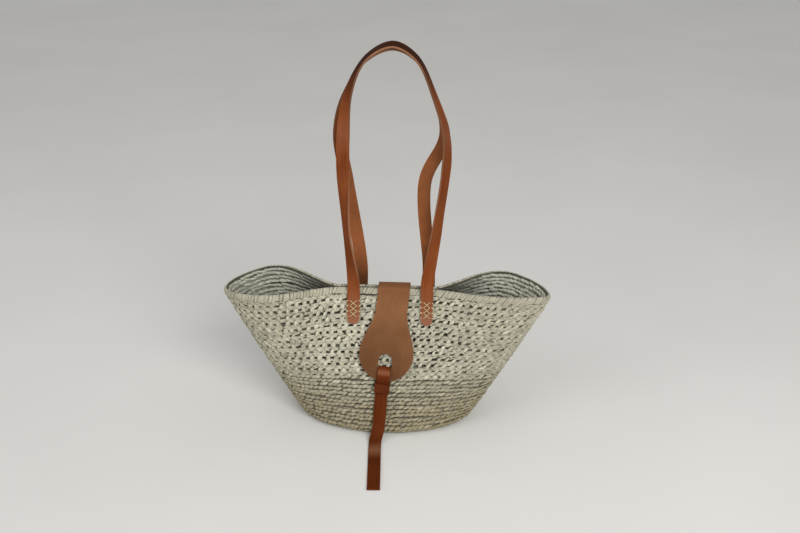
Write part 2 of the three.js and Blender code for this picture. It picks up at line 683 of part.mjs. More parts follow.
// Free tail, from its bend under the knot down in front of the heel and out along the floor
function thongTail() {
  const bend = knotPlace(THONG_BEND, -layerGap);
  const start = knotPlace(THONG_BEND + BEND_EDGE, -layerGap);
  const floor = THONG_THICKNESS / 2;
  const heelFront = wallPoint(HEEL_ARC, -Math.PI / 2, WALL / 2 + SEWN_LIFT + THONG_THICKNESS).y;
  const landY = heelFront - THONG_LANDING;
  const landX = bend.x - THONG_DRIFT;
  const route = new THREE.CatmullRomCurve3([
    start,
    vec(lerp(start.x, landX, 0.5), heelFront - THONG_THICKNESS, WALL / 2 + HEEL_RADIUS),
    vec(landX, heelFront - THONG_LANDING / 2, floor + THONG_LANDING_RISE),
    vec(landX, landY, floor),
    vec(landX + THONG_RETURN / 2, landY - THONG_FLOOR_RUN / 2, floor),
    vec(landX + THONG_RETURN, landY - THONG_FLOOR_RUN, floor),
  ]);
  const rings = [];
  for (let i = 0; i <= THONG_STEPS; i++) {
    const middle = route.getPointAt(i / THONG_STEPS);
    middle.z = Math.max(middle.z, floor);
    const along = route.getTangentAt(i / THONG_STEPS);
    const across = i === 0 ? knot.across : vec(1, 0, 0).addScaledVector(along, -along.x).normalize();
    const face = across.clone().cross(along).normalize();
    rings.push(strapRing(middle, across, face, THONG_WIDTH, i === 0 ? BEND_EDGE : THONG_THICKNESS));
  }
  return skin(rings);
}

addPiece("thong_knot", thongKnot(), thongLeather);
addPiece("thong_tail", thongTail(), thongLeather);

export default part;
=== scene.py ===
"""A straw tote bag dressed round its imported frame: woven basket, leather handles, flap, thong and lacing."""

import math

import bpy
import numpy as np
from bpy.props import FloatProperty, FloatVectorProperty, PointerProperty
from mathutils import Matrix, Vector


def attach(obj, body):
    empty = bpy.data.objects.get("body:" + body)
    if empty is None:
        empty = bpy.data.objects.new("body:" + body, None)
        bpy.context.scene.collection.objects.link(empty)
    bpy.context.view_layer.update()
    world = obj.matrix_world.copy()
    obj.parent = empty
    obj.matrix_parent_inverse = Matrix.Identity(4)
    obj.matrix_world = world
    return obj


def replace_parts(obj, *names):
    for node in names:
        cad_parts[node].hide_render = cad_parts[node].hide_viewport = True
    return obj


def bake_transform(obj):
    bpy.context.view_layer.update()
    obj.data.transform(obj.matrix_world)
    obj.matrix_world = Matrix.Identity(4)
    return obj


bl_info = {
    "name": "Straw tote bag",
    "version": (1, 0, 0),
    "blender": (4, 5, 0),
    "location": "View3D > Sidebar > Straw tote",
    "description": "Dresses the packed frame of a straw tote bag",
    "category": "Object",
}

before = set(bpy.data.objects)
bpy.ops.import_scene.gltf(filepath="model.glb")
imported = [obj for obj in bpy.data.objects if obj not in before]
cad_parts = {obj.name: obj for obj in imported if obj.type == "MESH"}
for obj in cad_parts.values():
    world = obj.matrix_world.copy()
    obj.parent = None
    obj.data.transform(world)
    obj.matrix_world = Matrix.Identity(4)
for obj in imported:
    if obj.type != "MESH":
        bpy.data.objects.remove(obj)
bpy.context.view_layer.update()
MM = 0.001

# Basket wall, measured to the middle of its thickness
WALL = 8 * MM
HEEL_RADIUS = 11 * MM
HEEL_HALF_WIDTH = 116 * MM
HEEL_HALF_DEPTH = 68 * MM
MOUTH_HALF_WIDTH = 218 * MM
MOUTH_FRONT_DEPTH = 50 * MM
MOUTH_REAR_DEPTH = 90 * MM
FRONT_LOBE_SKEW = 14 * MM
RIM_HEIGHT = 193 * MM
SIDE_BULGE = 2 * MM
TIP_DROP = 11 * MM
TIP_DROP_POWER = 3
MIDDLE_DIP = 6 * MM
PINCH_HALF_GAP = 4.8 * MM
PINCH_START = 10 * MM
PINCH_POWER = 1.1
PINCH_HALF_LENGTH = 55 * MM
LOBE_DISTANCE = 180 * MM
RIM_RADIUS = 4.3 * MM
CLEARANCE = 0.3 * MM
SEWN_LIFT = 0.6 * MM
HEEL_ARC = HEEL_RADIUS * math.pi / 2
WALL_RUN = HEEL_ARC + RIM_HEIGHT - WALL / 2 - HEEL_RADIUS
BASE_RUN = HEEL_HALF_DEPTH - HEEL_RADIUS

# Leather straps
STRAP_WIDTH = 17 * MM
STRAP_THICKNESS = 2.6 * MM
END_TIP_HEIGHT = 151 * MM
BEND_HEIGHT = END_TIP_HEIGHT + 40 * MM
BEND_BLEND = 9 * MM
TOP_TILT = 0.17
TWIST_END = 0.55
ARCH_STEPS = 6
FRONT_HANDLE = {
    "side": -1, "end_spacing": 100 * MM, "end_shift": 6.5 * MM, "stand_rise": 20 * MM,
    "waist_spacing": 121 * MM, "waist_shift": 8.5 * MM, "waist_rise": 104 * MM,
    "bow_spacing": 133 * MM, "bow_shift": 13 * MM, "bow_rise": 219 * MM, "shoulder_draw": 0.15,
    "top_shift": 11 * MM, "top_height": 531 * MM, "top_depth": 9.2 * MM,
    "turn_left": 0.55, "turn_right": 0.0, "twist_left": 0.95, "twist_right": 0.45, "tilt": TOP_TILT,
}
REAR_HANDLE = {
    "side": 1, "end_spacing": 92 * MM, "end_shift": 11.5 * MM, "stand_rise": 38 * MM,
    "waist_spacing": 103 * MM, "waist_shift": 0.0, "waist_rise": 158 * MM,
    "bow_spacing": 136 * MM, "bow_shift": 8 * MM, "bow_rise": 220 * MM, "shoulder_draw": 0.15,
    "top_shift": 11 * MM, "top_height": 522 * MM, "top_depth": 9.2 * MM,
    "turn_left": 0.5, "turn_right": 0.35, "twist_left": 0.0, "twist_right": 0.0, "tilt": 0.0,
}
HANDLES = {"front": FRONT_HANDLE, "rear": REAR_HANDLE}
ENDS = {"left": -1, "right": 1}
STRAP_SEAT = WALL / 2 + SEWN_LIFT + STRAP_THICKNESS / 2
STRIP_SHARES = np.array([-1, -0.5, 0, 0.5, 1])

# Lacing
LACE_ROWS = 4
LACE_PITCH = 7.5 * MM
LACE_HALF_WIDTH = 4 * MM
LACE_TIP_MARGIN = 10.5 * MM
LACE_WRAP = 0.8 * MM
LACE_STEP = 0.6 * MM
LACE_LIFT = 0.5 * MM
LACE_RIM = 0.9 * MM

# Closing flap
FLAP_THICKNESS = 2.6 * MM
FLAP_SHIFT = 11.5 * MM
FLAP_TILT = 0.1
FLAP_TOP_WIDTH = 43 * MM
FLAP_LENGTH = 127 * MM
FLAP_END_RADIUS = 37 * MM
FLAP_NECK_LENGTH = 28 * MM
FLAP_FOLD_RADIUS = 5 * MM
FLAP_LIFT = 3.8 * MM
FLAP_TAIL_LENGTH = 62 * MM
FLAP_TAIL_CORNER = 14 * MM
TAIL_LACE_WIDTH = 10 * MM
HOLE_WIDTH = 19 * MM
HOLE_HEIGHT = 21 * MM
HOLE_MARGIN = 17 * MM

# Closing thong
THONG_THICKNESS = 2.2 * MM
THONG_WIDTH = 17 * MM
THONG_HEAD_WIDTH = 21 * MM
THONG_HEAD_LENGTH = 16 * MM
THONG_CROSSING = 3 * MM
THONG_BEND = 21 * MM
THONG_LANDING = 26 * MM
THONG_LANDING_RISE = 3 * MM
THONG_FLOOR_RUN = 97 * MM
THONG_DRIFT = 6 * MM
THONG_RETURN = 6 * MM


class BasketSettings(bpy.types.PropertyGroup):
    """Sizes and colours of the straw."""

    open_course: FloatProperty(
        name="Open course", description="Height of a course in the upper wall",
        default=9.3 * MM, unit="LENGTH")
    tight_course: FloatProperty(
        name="Tight course", description="Height of a course in the base and the lower wall",
        default=5.7 * MM, unit="LENGTH")
    tight_until: FloatProperty(
        name="Tight until", description="Run up the wall where the courses start to open",
        default=70 * MM, unit="LENGTH")
    open_from: FloatProperty(
        name="Open from", description="Run up the wall where the courses are fully open",
        default=110 * MM, unit="LENGTH")
    inner_course: FloatProperty(
        name="Inner course", description="Height of a twisted row on the inner face",
        default=5.7 * MM, unit="LENGTH")
    stitch: FloatProperty(
        name="Stitch", description="Length of a stitch along its course", default=10.9 * MM, unit="LENGTH")
    whip: FloatProperty(
        name="Whip stitch", description="Length of a whip stitch along the rim",
        default=4.6 * MM, unit="LENGTH")
    pale: FloatVectorProperty(
        name="Pale straw", description="Lightest straw", subtype="COLOR", default=(0.655, 0.625, 0.49))
    dull: FloatVectorProperty(
        name="Dull straw", description="Greyest straw", subtype="COLOR", default=(0.36, 0.345, 0.265))
    golden: FloatVectorProperty(
        name="Golden straw", description="Warmest straw", subtype="COLOR", default=(0.315, 0.262, 0.15))
    cool: FloatVectorProperty(
        name="Cool straw", description="Straw of the inner face", subtype="COLOR",
        default=(0.50, 0.535, 0.47))
    # Colour of the painted shade deep in the weave
    crevice_shade: FloatVectorProperty(
        name="Crevice", description="Straw deep in the weave", subtype="COLOR", default=(0.030, 0.025, 0.017))


class LeatherSettings(bpy.types.PropertyGroup):
    """Colours of the leather and the thread."""

    strap: FloatVectorProperty(
        name="Strap grain", description="Smooth side of the handles", subtype="COLOR",
        default=(0.178, 0.041, 0.0105))
    strap_worn: FloatVectorProperty(
        name="Strap worn", description="Rubbed places of the handles", subtype="COLOR",
        default=(0.255, 0.079, 0.026))
    # Colour of the painted highlights on the handles
    strap_highlight: FloatVectorProperty(
        name="Strap bare", description="Ends of the handles, where the dye has gone", subtype="COLOR",
        default=(0.255, 0.112, 0.066))
    flesh: FloatVectorProperty(
        name="Strap flesh", description="Rough side of the handles", subtype="COLOR",
        default=(0.165, 0.056, 0.0195))
    raw_edge: FloatVectorProperty(
        name="Raw edge", description="Cut edge of the leather", subtype="COLOR",
        default=(0.235, 0.110, 0.058))
    flap: FloatVectorProperty(
        name="Flap", description="Smooth side of the closing flap", subtype="COLOR",
        default=(0.190, 0.080, 0.033))
    flap_worn: FloatVectorProperty(
        name="Flap worn", description="Rubbed places of the flap", subtype="COLOR",
        default=(0.245, 0.110, 0.049))
    thong: FloatVectorProperty(
        name="Thong", description="Smooth side of the thong", subtype="COLOR",
        default=(0.105, 0.020, 0.0035))
    thong_worn: FloatVectorProperty(
        name="Thong worn", description="Rubbed places of the thong", subtype="COLOR",
        default=(0.150, 0.035, 0.0085))
    # Colour of the painted highlights on the thong
    thong_highlight: FloatVectorProperty(
        name="Thong bare", description="Bends of the thong, where the dye has gone", subtype="COLOR",
        default=(0.265, 0.112, 0.056))
    thread: FloatVectorProperty(
        name="Thread", description="Waxed lacing thread", subtype="COLOR", default=(0.64, 0.50, 0.29))
    thread_shade: FloatVectorProperty(
        name="Thread shade", description="Lacing thread between its plies", subtype="COLOR",
        default=(0.36, 0.25, 0.115))
    thread_width: FloatProperty(
        name="Thread width", description="Thickness of the lacing thread", default=1.15 * MM, unit="LENGTH")


class StageSettings(bpy.types.PropertyGroup):
    """Floor, light and camera."""

    floor: FloatVectorProperty(
        name="Floor", description="Colour of the floor", subtype="COLOR", default=(0.74, 0.73, 0.70))
    sky: FloatProperty(name="Sky", description="Strength of the light from all round", default=0.52)
    key: FloatProperty(name="Key", description="Power of the main lamp in watts", default=21.4)
    fill: FloatProperty(name="Fill", description="Power of the second lamp in watts", default=5.5)
    distance: FloatProperty(
        name="Camera distance", description="From the camera to its aim", default=1.501, unit="LENGTH")
    elevation: FloatProperty(
        name="Camera elevation", description="Above level", default=math.radians(25), subtype="ANGLE")
    yaw: FloatProperty(
        name="Camera yaw", description="Towards the right", default=math.radians(3.5), subtype="ANGLE")
    aim: FloatVectorProperty(
        name="Camera aim", description="Point in the middle of the view", subtype="XYZ",
        default=(0.019, 0.0, 0.226))


# Shapes of the frame, repeated so that every piece lies where its solid does

def lerp(low, high, share):
    return low + (high - low) * share


def smoothstep(value, low, high):
    share = np.clip((value - low) / (high - low), 0, 1)
    return share * share * (3 - 2 * share)


def unit(vectors):
    return vectors / np.linalg.norm(vectors, axis=-1, keepdims=True)


def wall_profile(run):
    """Height and inset of the wall, by the run from the edge of the base. A negative run lies in the base."""
    turn = np.clip(run, 0, HEEL_ARC) / HEEL_RADIUS
    height = WALL / 2 + HEEL_RADIUS * (1 - np.cos(turn)) + np.maximum(run - HEEL_ARC, 0)
    return height, HEEL_RADIUS * (1 - np.sin(turn)) - np.minimum(run, 0)


def rise_share(height):
    return (height - WALL / 2) / (RIM_HEIGHT - WALL / 2)


def wall_half_width(run):
    height, inset = wall_profile(run)
    share = rise_share(height)
    return lerp(HEEL_HALF_WIDTH, MOUTH_HALF_WIDTH, share) + SIDE_BULGE * np.sin(np.pi * share) - inset


def wall_middle(run, angle):
    """Middle of the wall. The angle runs round the mouth, from +X towards the rear."""
    height, inset = wall_profile(run)
    share = rise_share(height)
    x = wall_half_width(run) * np.cos(angle)
    front_depth = MOUTH_FRONT_DEPTH - FRONT_LOBE_SKEW * np.cos(angle)
    depth = lerp(HEEL_HALF_DEPTH, np.where(np.sin(angle) < 0, front_depth, MOUTH_REAR_DEPTH), share) - inset
    pinch = np.maximum(0, (height - PINCH_START) / (RIM_HEIGHT - PINCH_START)) ** PINCH_POWER
    lobe = smoothstep(np.abs(x), PINCH_HALF_LENGTH, LOBE_DISTANCE)
    drawn = lerp(depth, lerp(PINCH_HALF_GAP, depth, lobe), pinch)
    drop = TIP_DROP * np.abs(np.cos(angle)) ** TIP_DROP_POWER + MIDDLE_DIP * (1 - lobe)
    return np.stack([x, drawn * np.sin(angle), height - share * drop], axis=-1)


def wall_frame(run, angle):
    """Directions up along the wall and out of it."""
    step = 0.01
    low, high = run - step * MM, run + step * MM
    up = unit(wall_middle(high, angle) - wall_middle(low, angle))
    along = wall_middle(run, angle + step) - wall_middle(run, angle - step)
    return up, unit(np.cross(along, up))


def wall_point(run, angle, offset):
    return wall_middle(run, angle) + wall_frame(run, angle)[1] * np.asarray(offset)[..., None]


def run_at(height):
    return HEEL_ARC + np.asarray(height) - WALL / 2 - HEEL_RADIUS


def wall_at(x, height, side, offset):
    """Place on the front (side -1) or rear (side 1) wall by its X and height."""
    x, run = np.broadcast_arrays(x, run_at(height))
    return wall_point(run, side * np.arccos(x / wall_half_width(run)), np.broadcast_to(offset, x.shape))


SPLINE_STEPS = 40


def spline(points, samples):
    """Centripetal curve through the points, as places at even steps along it."""
    points = np.asarray(points, float)
    knots = np.concatenate([[2 * points[0] - points[1]], points, [2 * points[-1] - points[-2]]])
    share = np.linspace(0, 1, SPLINE_STEPS, endpoint=False)[:, None]
    places = []
    for before, start, stop, after in zip(knots, knots[1:], knots[2:], knots[3:]):
        legs = (before, start), (start, stop), (stop, after)
        first, span, last = (np.sqrt(np.linalg.norm(b - a)) for a, b in legs)
        lead = (start - before) / first - (stop - before) / (first + span) + (stop - start) / span
        trail = (stop - start) / span - (after - start) / (span + last) + (after - stop) / last
        lead, trail = lead * span, trail * span
        bend = (2 * start - 2 * stop + lead + trail) * share ** 3
        places.append(bend + (3 * stop - 3 * start - 2 * lead - trail) * share ** 2 + lead * share + start)
    return resample(np.concatenate([*places, knots[-2:-1]]), samples)


def lengths_along(places):
    """Length of the line of places up to each of them."""
    return np.concatenate([[0], np.cumsum(np.linalg.norm(np.diff(places, axis=0), axis=1))])


def value_at(length, lengths, values):
    """Vectors at a length along a line that has them at other lengths."""
    return np.stack([np.interp(length, lengths, axis) for axis in values.T], axis=-1)


def resample(places, count):
    lengths = lengths_along(places)
    return value_at(np.linspace(0, lengths[-1], count), lengths, places)


def tangents(places):
    return unit(np.gradient(places, axis=0))


def side_turns(sides):
    """Angles of the sides of a ring."""
    return 2 * np.pi * np.arange(sides) / sides


# Finishes

# Shades are pairs of a height and how light the leather is made there, most of them painted light and shade.
# Highlight places are pairs of a height, or of a length along the thong, and the share of the painted
# highlight colour there. Their borders are ragged.
SHADE_TOP = 0.56
SHADE_MOST = 2.4
SHADE_RAG = 6 * MM
# Painted shade on the crown of the handles
STRAP_SHADES = (0.455, 1.0), (0.505, 0.22)
# Painted highlights: glare on the sewn ends and a sheen band high on the legs
STRAP_HIGHLIGHTS = (0.154, 0.8), (0.172, 0.3), (0.205, 0.0), (0.385, 0.0), (0.415, 0.24), (0.445, 0.0)
# Painted shade on the cut edges of the handles, darkest high on the legs
EDGE_SHADES = (0.20, 0.8), (0.30, 0.95), (0.365, 0.76), (0.453, 0.53), (0.492, 0.46), (0.52, 0.9)
# Painted shadow on the flesh side just above the rim, and a painted sheen above it
FLESH_SHADES = (0.205, 0.45), (0.228, 1.05), (0.258, 1.38), (0.30, 1.05)
# The flap is darker towards its free end
FLAP_SHADES = (0.085, 0.76), (0.135, 1.08), (0.17, 1.04)
# Painted shade on the thong's head under its loop, and a painted highlight on the loop
THONG_SHADES = (0.056, 0.9), (0.075, 0.75), (0.0845, 1.05), (0.0885, 1.5), (0.0915, 1.3)
# Painted highlights on the thong's loop and where it bends onto the floor, by length along it
THONG_HIGHLIGHTS = (0.0425, 0.0), (0.0475, 0.6), (0.0525, 0.0), (0.148, 0.0), (0.166, 0.7), (0.186, 0.0)
EVENLY = ((0, 1),)

# Flesh sides and cut edges, as shares of the colours that they are mixed from
STRAP_FLESH_PALE, STRAP_EDGE_PALE, FLAP_FLESH_PALE = 1.45, 1.3, 1.4
FLAP_EDGE_DARK, FLAP_EDGE_WORN = 0.42, 0.55
THONG_FLESH_DARK, THONG_FLESH_WORN, THONG_EDGE_DARK = 0.55, 0.62, 0.7

# Repeats of a pattern in a metre: along and across a strand or a thread, but across and along leather
STRAW_FIBRES, STRAW_SPLITS = (90, 2200, 1), (70, 640, 1)
LEATHER_STREAKS, LEATHER_CREASES = (420, 14, 1), (60, 260, 1)
THREAD_TWIST, THREAD_BANDS = (900, 900, 1), 0.3


class Socket:
    """One socket in a material's nodes. Arithmetic on it adds Math nodes."""

    def __init__(self, tree, socket):
        self.tree = tree
        self.socket = socket

    def math(self, operation, first, second):
        return add_node(self.tree, "ShaderNodeMath", {"operation": operation}, {0: first, 1: second})

    def __add__(self, other):
        return self.math("ADD", self, other)

    def __sub__(self, other):
        return self.math("SUBTRACT", self, other)

    def __rsub__(self, other):
        return self.math("SUBTRACT", other, self)

    def __mul__(self, other):
        return self.math("MULTIPLY", self, other)

    def __truediv__(self, other):
        return self.math("DIVIDE", self, other)

    def __rtruediv__(self, other):
        return self.math("DIVIDE", other, self)

    __radd__ = __add__
    __rmul__ = __mul__


def add_node(tree, kind, settings=None, sockets=None, output=0):
    """Adds a node with its settings, then its sockets' values or links, and returns one of its outputs."""
    node = tree.nodes.new(kind)
    for name, value in (settings or {}).items():
        if name == "stops":
            set_stops(node.color_ramp.elements, value)
        else:
            setattr(node, name, value)
    for name, value in (sockets or {}).items():
        if isinstance(value, Socket):
            tree.links.new(value.socket, node.inputs[name])
        else:
            node.inputs[name].default_value = value
    return Socket(tree, node.outputs[output])


def set_stops(elements, stops):
    while len(elements) < len(stops):
        elements.new(1)
    for element, (position, value) in zip(elements, stops):
        element.position = position
        element.color = (value, value, value, 1)


def opaque(colour):
    return (*colour, 1)


class Finish:
    """A material with one shader, and the patterns that the finishes share."""

    def __init__(self, name, **constants):
        self.material = bpy.data.materials.new(name)
        self.material.use_nodes = True
        self.tree = self.material.node_tree
        self.shader = self.tree.nodes["Principled BSDF"]
        for socket, value in constants.items():
            self.shader.inputs[socket.replace("_", " ")].default_value = value

    def node(self, kind, settings=None, output=0, **sockets):
        named = {name.replace("_", " "): value for name, value in sockets.items()}
        return add_node(self.tree, kind, settings, named, output)

    def feed(self, socket, value):
        self.tree.links.new(value.socket, self.shader.inputs[socket])

    def place(self, kind="Object"):
        outputs = ["Generated", "Normal", "UV", "Object"]
        return self.node("ShaderNodeTexCoord", output=outputs.index(kind))

    def noise(self, place, scale=1.0, detail=2.0, stretch=(1, 1, 1)):
        mapped = self.node("ShaderNodeMapping", Vector=place, Scale=stretch)
        return self.node("ShaderNodeTexNoise", Vector=mapped, Scale=scale, Detail=detail)

    def ramp(self, value, *stops):
        return self.node("ShaderNodeValToRGB", {"stops": stops}, Fac=value)

    def mix(self, share, first, second, blend="MIX"):
        named = {"Factor": share, 6: first, 7: second}
        return add_node(self.tree, "ShaderNodeMix", {"data_type": "RGBA", "blend_type": blend}, named, 2)

    def multiply(self, first, second):
        return self.mix(1.0, first, second, "MULTIPLY")

    def attribute(self, name):
        return self.node("ShaderNodeAttribute", {"attribute_name": name}, output=2)

    def shade(self, shades, mottle, reach=None):
        """Shades by height or by another reach, with uneven borders."""
        if reach is None:
            reach = self.node("ShaderNodeSeparateXYZ", output=2, Vector=self.place())
        stops = [(level / SHADE_TOP, shade / SHADE_MOST) for level, shade in shades]
        return self.ramp((reach + SHADE_RAG * (mottle - 0.5)) / SHADE_TOP, *stops) * SHADE_MOST

    def bump(self, height, depth, strength=1.0):
        self.feed("Normal", self.node("ShaderNodeBump", Height=height, Distance=depth, Strength=strength))


def straw_finish(basket):
    """Dry straw: tones by strand, fine fibres along it, and painted shade deep in the weave."""
    finish = Finish("woven_straw", Specular_IOR_Level=0.25)
    along = finish.place("UV")
    fibres = finish.noise(along, detail=3.0, stretch=STRAW_FIBRES)
    splits = finish.noise(along, stretch=STRAW_SPLITS)
    patches = finish.noise(finish.place(), scale=22.0, detail=3.0)
    tone = finish.attribute("tone") + 0.5 * patches - 0.25
    colour = finish.mix(tone, opaque(basket.dull), opaque(basket.pale))
    warmth = finish.attribute("warmth")
    colour = finish.mix(warmth, colour, opaque(basket.golden))
    colour = finish.mix(0 - warmth, colour, opaque(basket.cool))
    streaks = finish.ramp(0.5 * fibres + 0.5 * splits, (0.38, 0.52), (0.58, 1.0))
    colour = finish.multiply(colour, streaks)
    # Painted shade: mixes towards the crevice colour by the depth attribute
    colour = finish.mix(finish.attribute("depth"), colour, opaque(basket.crevice_shade))
    finish.feed("Base Color", colour)
    finish.feed("Roughness", 0.80 - fibres * 0.2)
    finish.bump(fibres * 0.4 + splits, depth=0.35 * MM, strength=0.7)
    return finish.material


def leather_finish(name, grain, worn, roughness, streak, pore_depth, shades, pale_nap_and_highlight=None, highlight_places=(),
                   lengthwise=False):
    """Smooth leather: mottled colour, faint streaks along it, pores and soft creases, and painted light and
    shade.

    The places of the painted highlights are heights, or lengths along the leather where it goes lengthwise."""
    finish = Finish(name, Specular_IOR_Level=0.025)
    along = finish.place("UV")
    streaks = finish.noise(along, detail=3.0, stretch=LEATHER_STREAKS)
    mottle = finish.noise(finish.place(), scale=34.0, detail=4.0)
    clouds = finish.noise(finish.place(), scale=11.0)
    pores = finish.noise(finish.place(), scale=1500.0)
    creases = finish.noise(along, stretch=LEATHER_CREASES)
    rubbed = finish.ramp(streaks * streak + mottle * (1 - streak), (0.36, 0), (0.70, 1))
    colour = finish.mix(rubbed, opaque(grain), opaque(worn))
    grime = finish.ramp(pores, (0.30, 0.80), (0.55, 1)) * finish.ramp(clouds, (0.34, 0.74), (0.60, 1))
    # Painted light and shade by height, times grime from pores and clouds
    colour = finish.multiply(colour, finish.shade(shades, mottle) * grime)
    # Painted highlights: mixes towards the highlight colour at the places given
    if pale_nap_and_highlight:
        length = finish.node("ShaderNodeSeparateXYZ", output=1, Vector=along) if lengthwise else None
        colour = finish.mix(finish.shade(highlight_places, mottle, length), colour, opaque(pale_nap_and_highlight))
    finish.feed("Base Color", colour)
    finish.feed("Roughness", roughness + 0.16 * mottle - 0.1 * rubbed)
    finish.bump(pores * 0.5 + creases * 0.6 + streaks * 0.4, pore_depth, strength=0.55)
    return finish.material


def rough_finish(name, colour, pale, shades=EVENLY):
    """Flesh side or cut edge of leather: short matted fibres, and painted light and shade by height."""
    finish = Finish(name, Roughness=0.85, Specular_IOR_Level=0.08)
    nap = finish.noise(finish.place(), scale=700.0, detail=4.0)
    blotches = finish.noise(finish.place(), scale=60.0, detail=3.0)
    pale_nap_and_highlight = finish.ramp(nap * 0.6 + blotches * 0.4, (0.35, 0), (0.66, 1))
    matted = finish.mix(pale_nap_and_highlight, opaque(colour), opaque(pale))
    # Painted light and shade by height, where shades are given
    finish.feed("Base Color", finish.multiply(matted, finish.shade(shades, blotches)))
    finish.bump(nap, depth=0.3 * MM, strength=0.6)
    return finish.material


def thread_finish(leather):
    """Waxed cream thread with its twist."""
    finish = Finish("lacing_thread", Roughness=0.62, Specular_IOR_Level=0.35)
    along = finish.node("ShaderNodeMapping", Vector=finish.place("UV"), Scale=THREAD_TWIST)
    twist = finish.node("ShaderNodeTexWave", {"bands_direction": "DIAGONAL"}, output=1,
                        Vector=along, Scale=THREAD_BANDS)
    finish.feed("Base Color", finish.mix(twist, opaque(leather.thread_shade), opaque(leather.thread)))
    finish.bump(twist, depth=0.2 * MM, strength=0.7)
    return finish.material


def brighter(colour, share):
    return tuple(channel * share for channel in colour)


# Meshes

def ring_faces(rings, sides, closed):
    """Faces of a tube of rings with an even count of sides, capped unless it closes on itself."""
    faces = []
    for ring in range(rings if closed else rings - 1):
        low, high = ring * sides, (ring + 1) % rings * sides
        for side in range(sides):
            beside = (side + 1) % sides
            faces.append((low + side, low + beside, high + beside, high + side))
    if not closed:
        last = (rings - 1) * sides
        for side in range(1, sides - 1, 2):
            faces.append((0, side + 2, side + 1, side))
            faces.append((last, last + side, last + side + 1, last + side + 2))
    return np.array(faces)


class Strands:
    """Many strands gathered into one mesh, with their fibres and tones."""

    def __init__(self):
        self.points, self.faces, self.fibres = [], [], []
        self.values = {}
        self.count = 0

    def add(self, points, fibres, closed=False, **values):
        """Takes strands as an array: strand, ring, side and then X, Y, Z. The values become attributes."""
        strands, rings, sides = points.shape[:3]
        size = rings * sides
        starts = self.count + size * np.arange(strands)
        self.faces.append((ring_faces(rings, sides, closed)[None] + starts[:, None, None]).reshape(-1, 4))
        self.points.append(points.reshape(-1, 3))
        self.fibres.append(np.broadcast_to(fibres, (strands, rings, sides, 2)).reshape(-1, 2))
        for name, value in values.items():
            spread = np.broadcast_to(value, (strands, rings, sides)).ravel()
            self.values.setdefault(name, []).append(spread)
        self.count += strands * size

    def finish(self, name, material):
        """Makes the mesh, standing on the floor, smooth and with its attributes."""
        points = np.concatenate(self.points)
        points[:, 2] = np.maximum(points[:, 2], 0)
        faces = np.concatenate(self.faces)
        mesh = bpy.data.meshes.new(name)
        mesh.from_pydata(points.tolist(), [], faces.tolist())
        mesh.polygons.foreach_set("use_smooth", np.ones(len(faces), bool))
        fibres = np.concatenate(self.fibres)[faces.ravel()]
        mesh.uv_layers.new(name="UVMap").data.foreach_set("uv", fibres.astype(np.float32).ravel())
        for attribute, values in self.values.items():
            layer = mesh.attributes.new(attribute, "FLOAT", "POINT")
            layer.data.foreach_set("value", np.concatenate(values).astype(np.float32))
        mesh.materials.append(material)
        piece = bpy.data.objects.new(name, mesh)
        bpy.context.scene.collection.objects.link(piece)
        return piece


# Woven basket

BASE_SEED, WALL_SEED, RIM_SEED = 11, 23, 37
COURSE_SAMPLES = 1440
STRAND_SIDES = 6
STRAND_HALF_THICKNESS = 0.95 * MM
SIDE_FIBRES = np.arange(STRAND_SIDES) * 1.2 * MM

# Strands of one stitch in millimetres: along its course, up from the course's foot, out of the wall, and half
# their width there. The post crosses to the course below, and the holes stay open between the posts.
# They are drawn for a stitch and a course of these two sizes, and stretched to the ones that are woven.
DRAWN_STITCH, DRAWN_COURSE = 9.7, 9.3
POST = [(-2.1, -4.1, 1.4, 1.2), (-1.1, -2.1, 2.7, 2.5), (0, 0, 3.3, 3.1), (1.1, 2.1, 2.9, 2.5),
        (2.2, 4.3, 1.6, 1.2)]
LOW_LAY = [(0.2, 1.7, 1.7, 1.0), (2.6, 2.6, 2.5, 1.6), (5.2, 3.4, 2.9, 1.85), (7.8, 4.2, 2.5, 1.6),
           (10.2, 5.0, 1.6, 1.0)]
HIGH_LAY = [(-0.2, 5.8, 1.7, 1.0), (2.4, 6.0, 2.6, 1.6), (5.0, 6.2, 3.0, 1.8), (7.6, 6.5, 2.5, 1.6),
            (10.0, 6.8, 1.6, 1.0)]
CROSS = [(2.4, 7.4, 1.6, 0.7), (3.9, 6.0, 3.1, 1.15), (5.4, 4.5, 3.5, 1.3), (6.9, 3.1, 3.0, 1.15),
         (8.2, 2.0, 1.5, 0.7)]
ROPE_LAY = [(-2.0, 2.4, 1.5, 1.0), (1.2, 3.5, 2.9, 1.85), (4.4, 4.6, 3.3, 2.1), (7.6, 5.8, 2.8, 1.85),
            (10.8, 6.9, 1.5, 1.0)]
INNER_LAY = [(-3.0, 3.2, -1.6, 1.15), (0.8, 3.9, -2.9, 1.8), (4.5, 4.6, -3.3, 1.95), (8.2, 5.3, -2.9, 1.8),
             (12.0, 6.0, -1.6, 1.15)]

# Each strand with what it adds to the tone and warmth of its course
OUTER_STRANDS = (LOW_LAY, -0.08, 0), (HIGH_LAY, 0, 0), (CROSS, 0.10, 0), (POST, 0.14, 0)
ROPE_STRANDS = ((ROPE_LAY, 0, 0),)
INNER_STRANDS = ((INNER_LAY, 0.02, -0.5),)

# Tighter courses than this are roped, with shorter stitches, and so are the rows of the inner face
ROPE_LOOSENESS = 0.2
ROPE_STITCH = 0.62

# Unevenness of the stitches. The wobble is along, up and out, in millimetres.
STITCH_JITTER = 0.45 * MM
COURSE_SWAY = 0.45 * MM
COURSE_WAVES = np.arange(2, 9)
STRAND_WOBBLE = np.array([0.7, 0.5, 0.25])
STRAND_LEAN = 0.12

# Fatness of the strands: more where an open course closes up, less where it is loose
FATNESS, CLOSED_FATTER, LOOSE_THINNER = 1.12, 0.24, 0.05
FAT_SPREAD, FAT_DRIFT = 0.10, 0.08

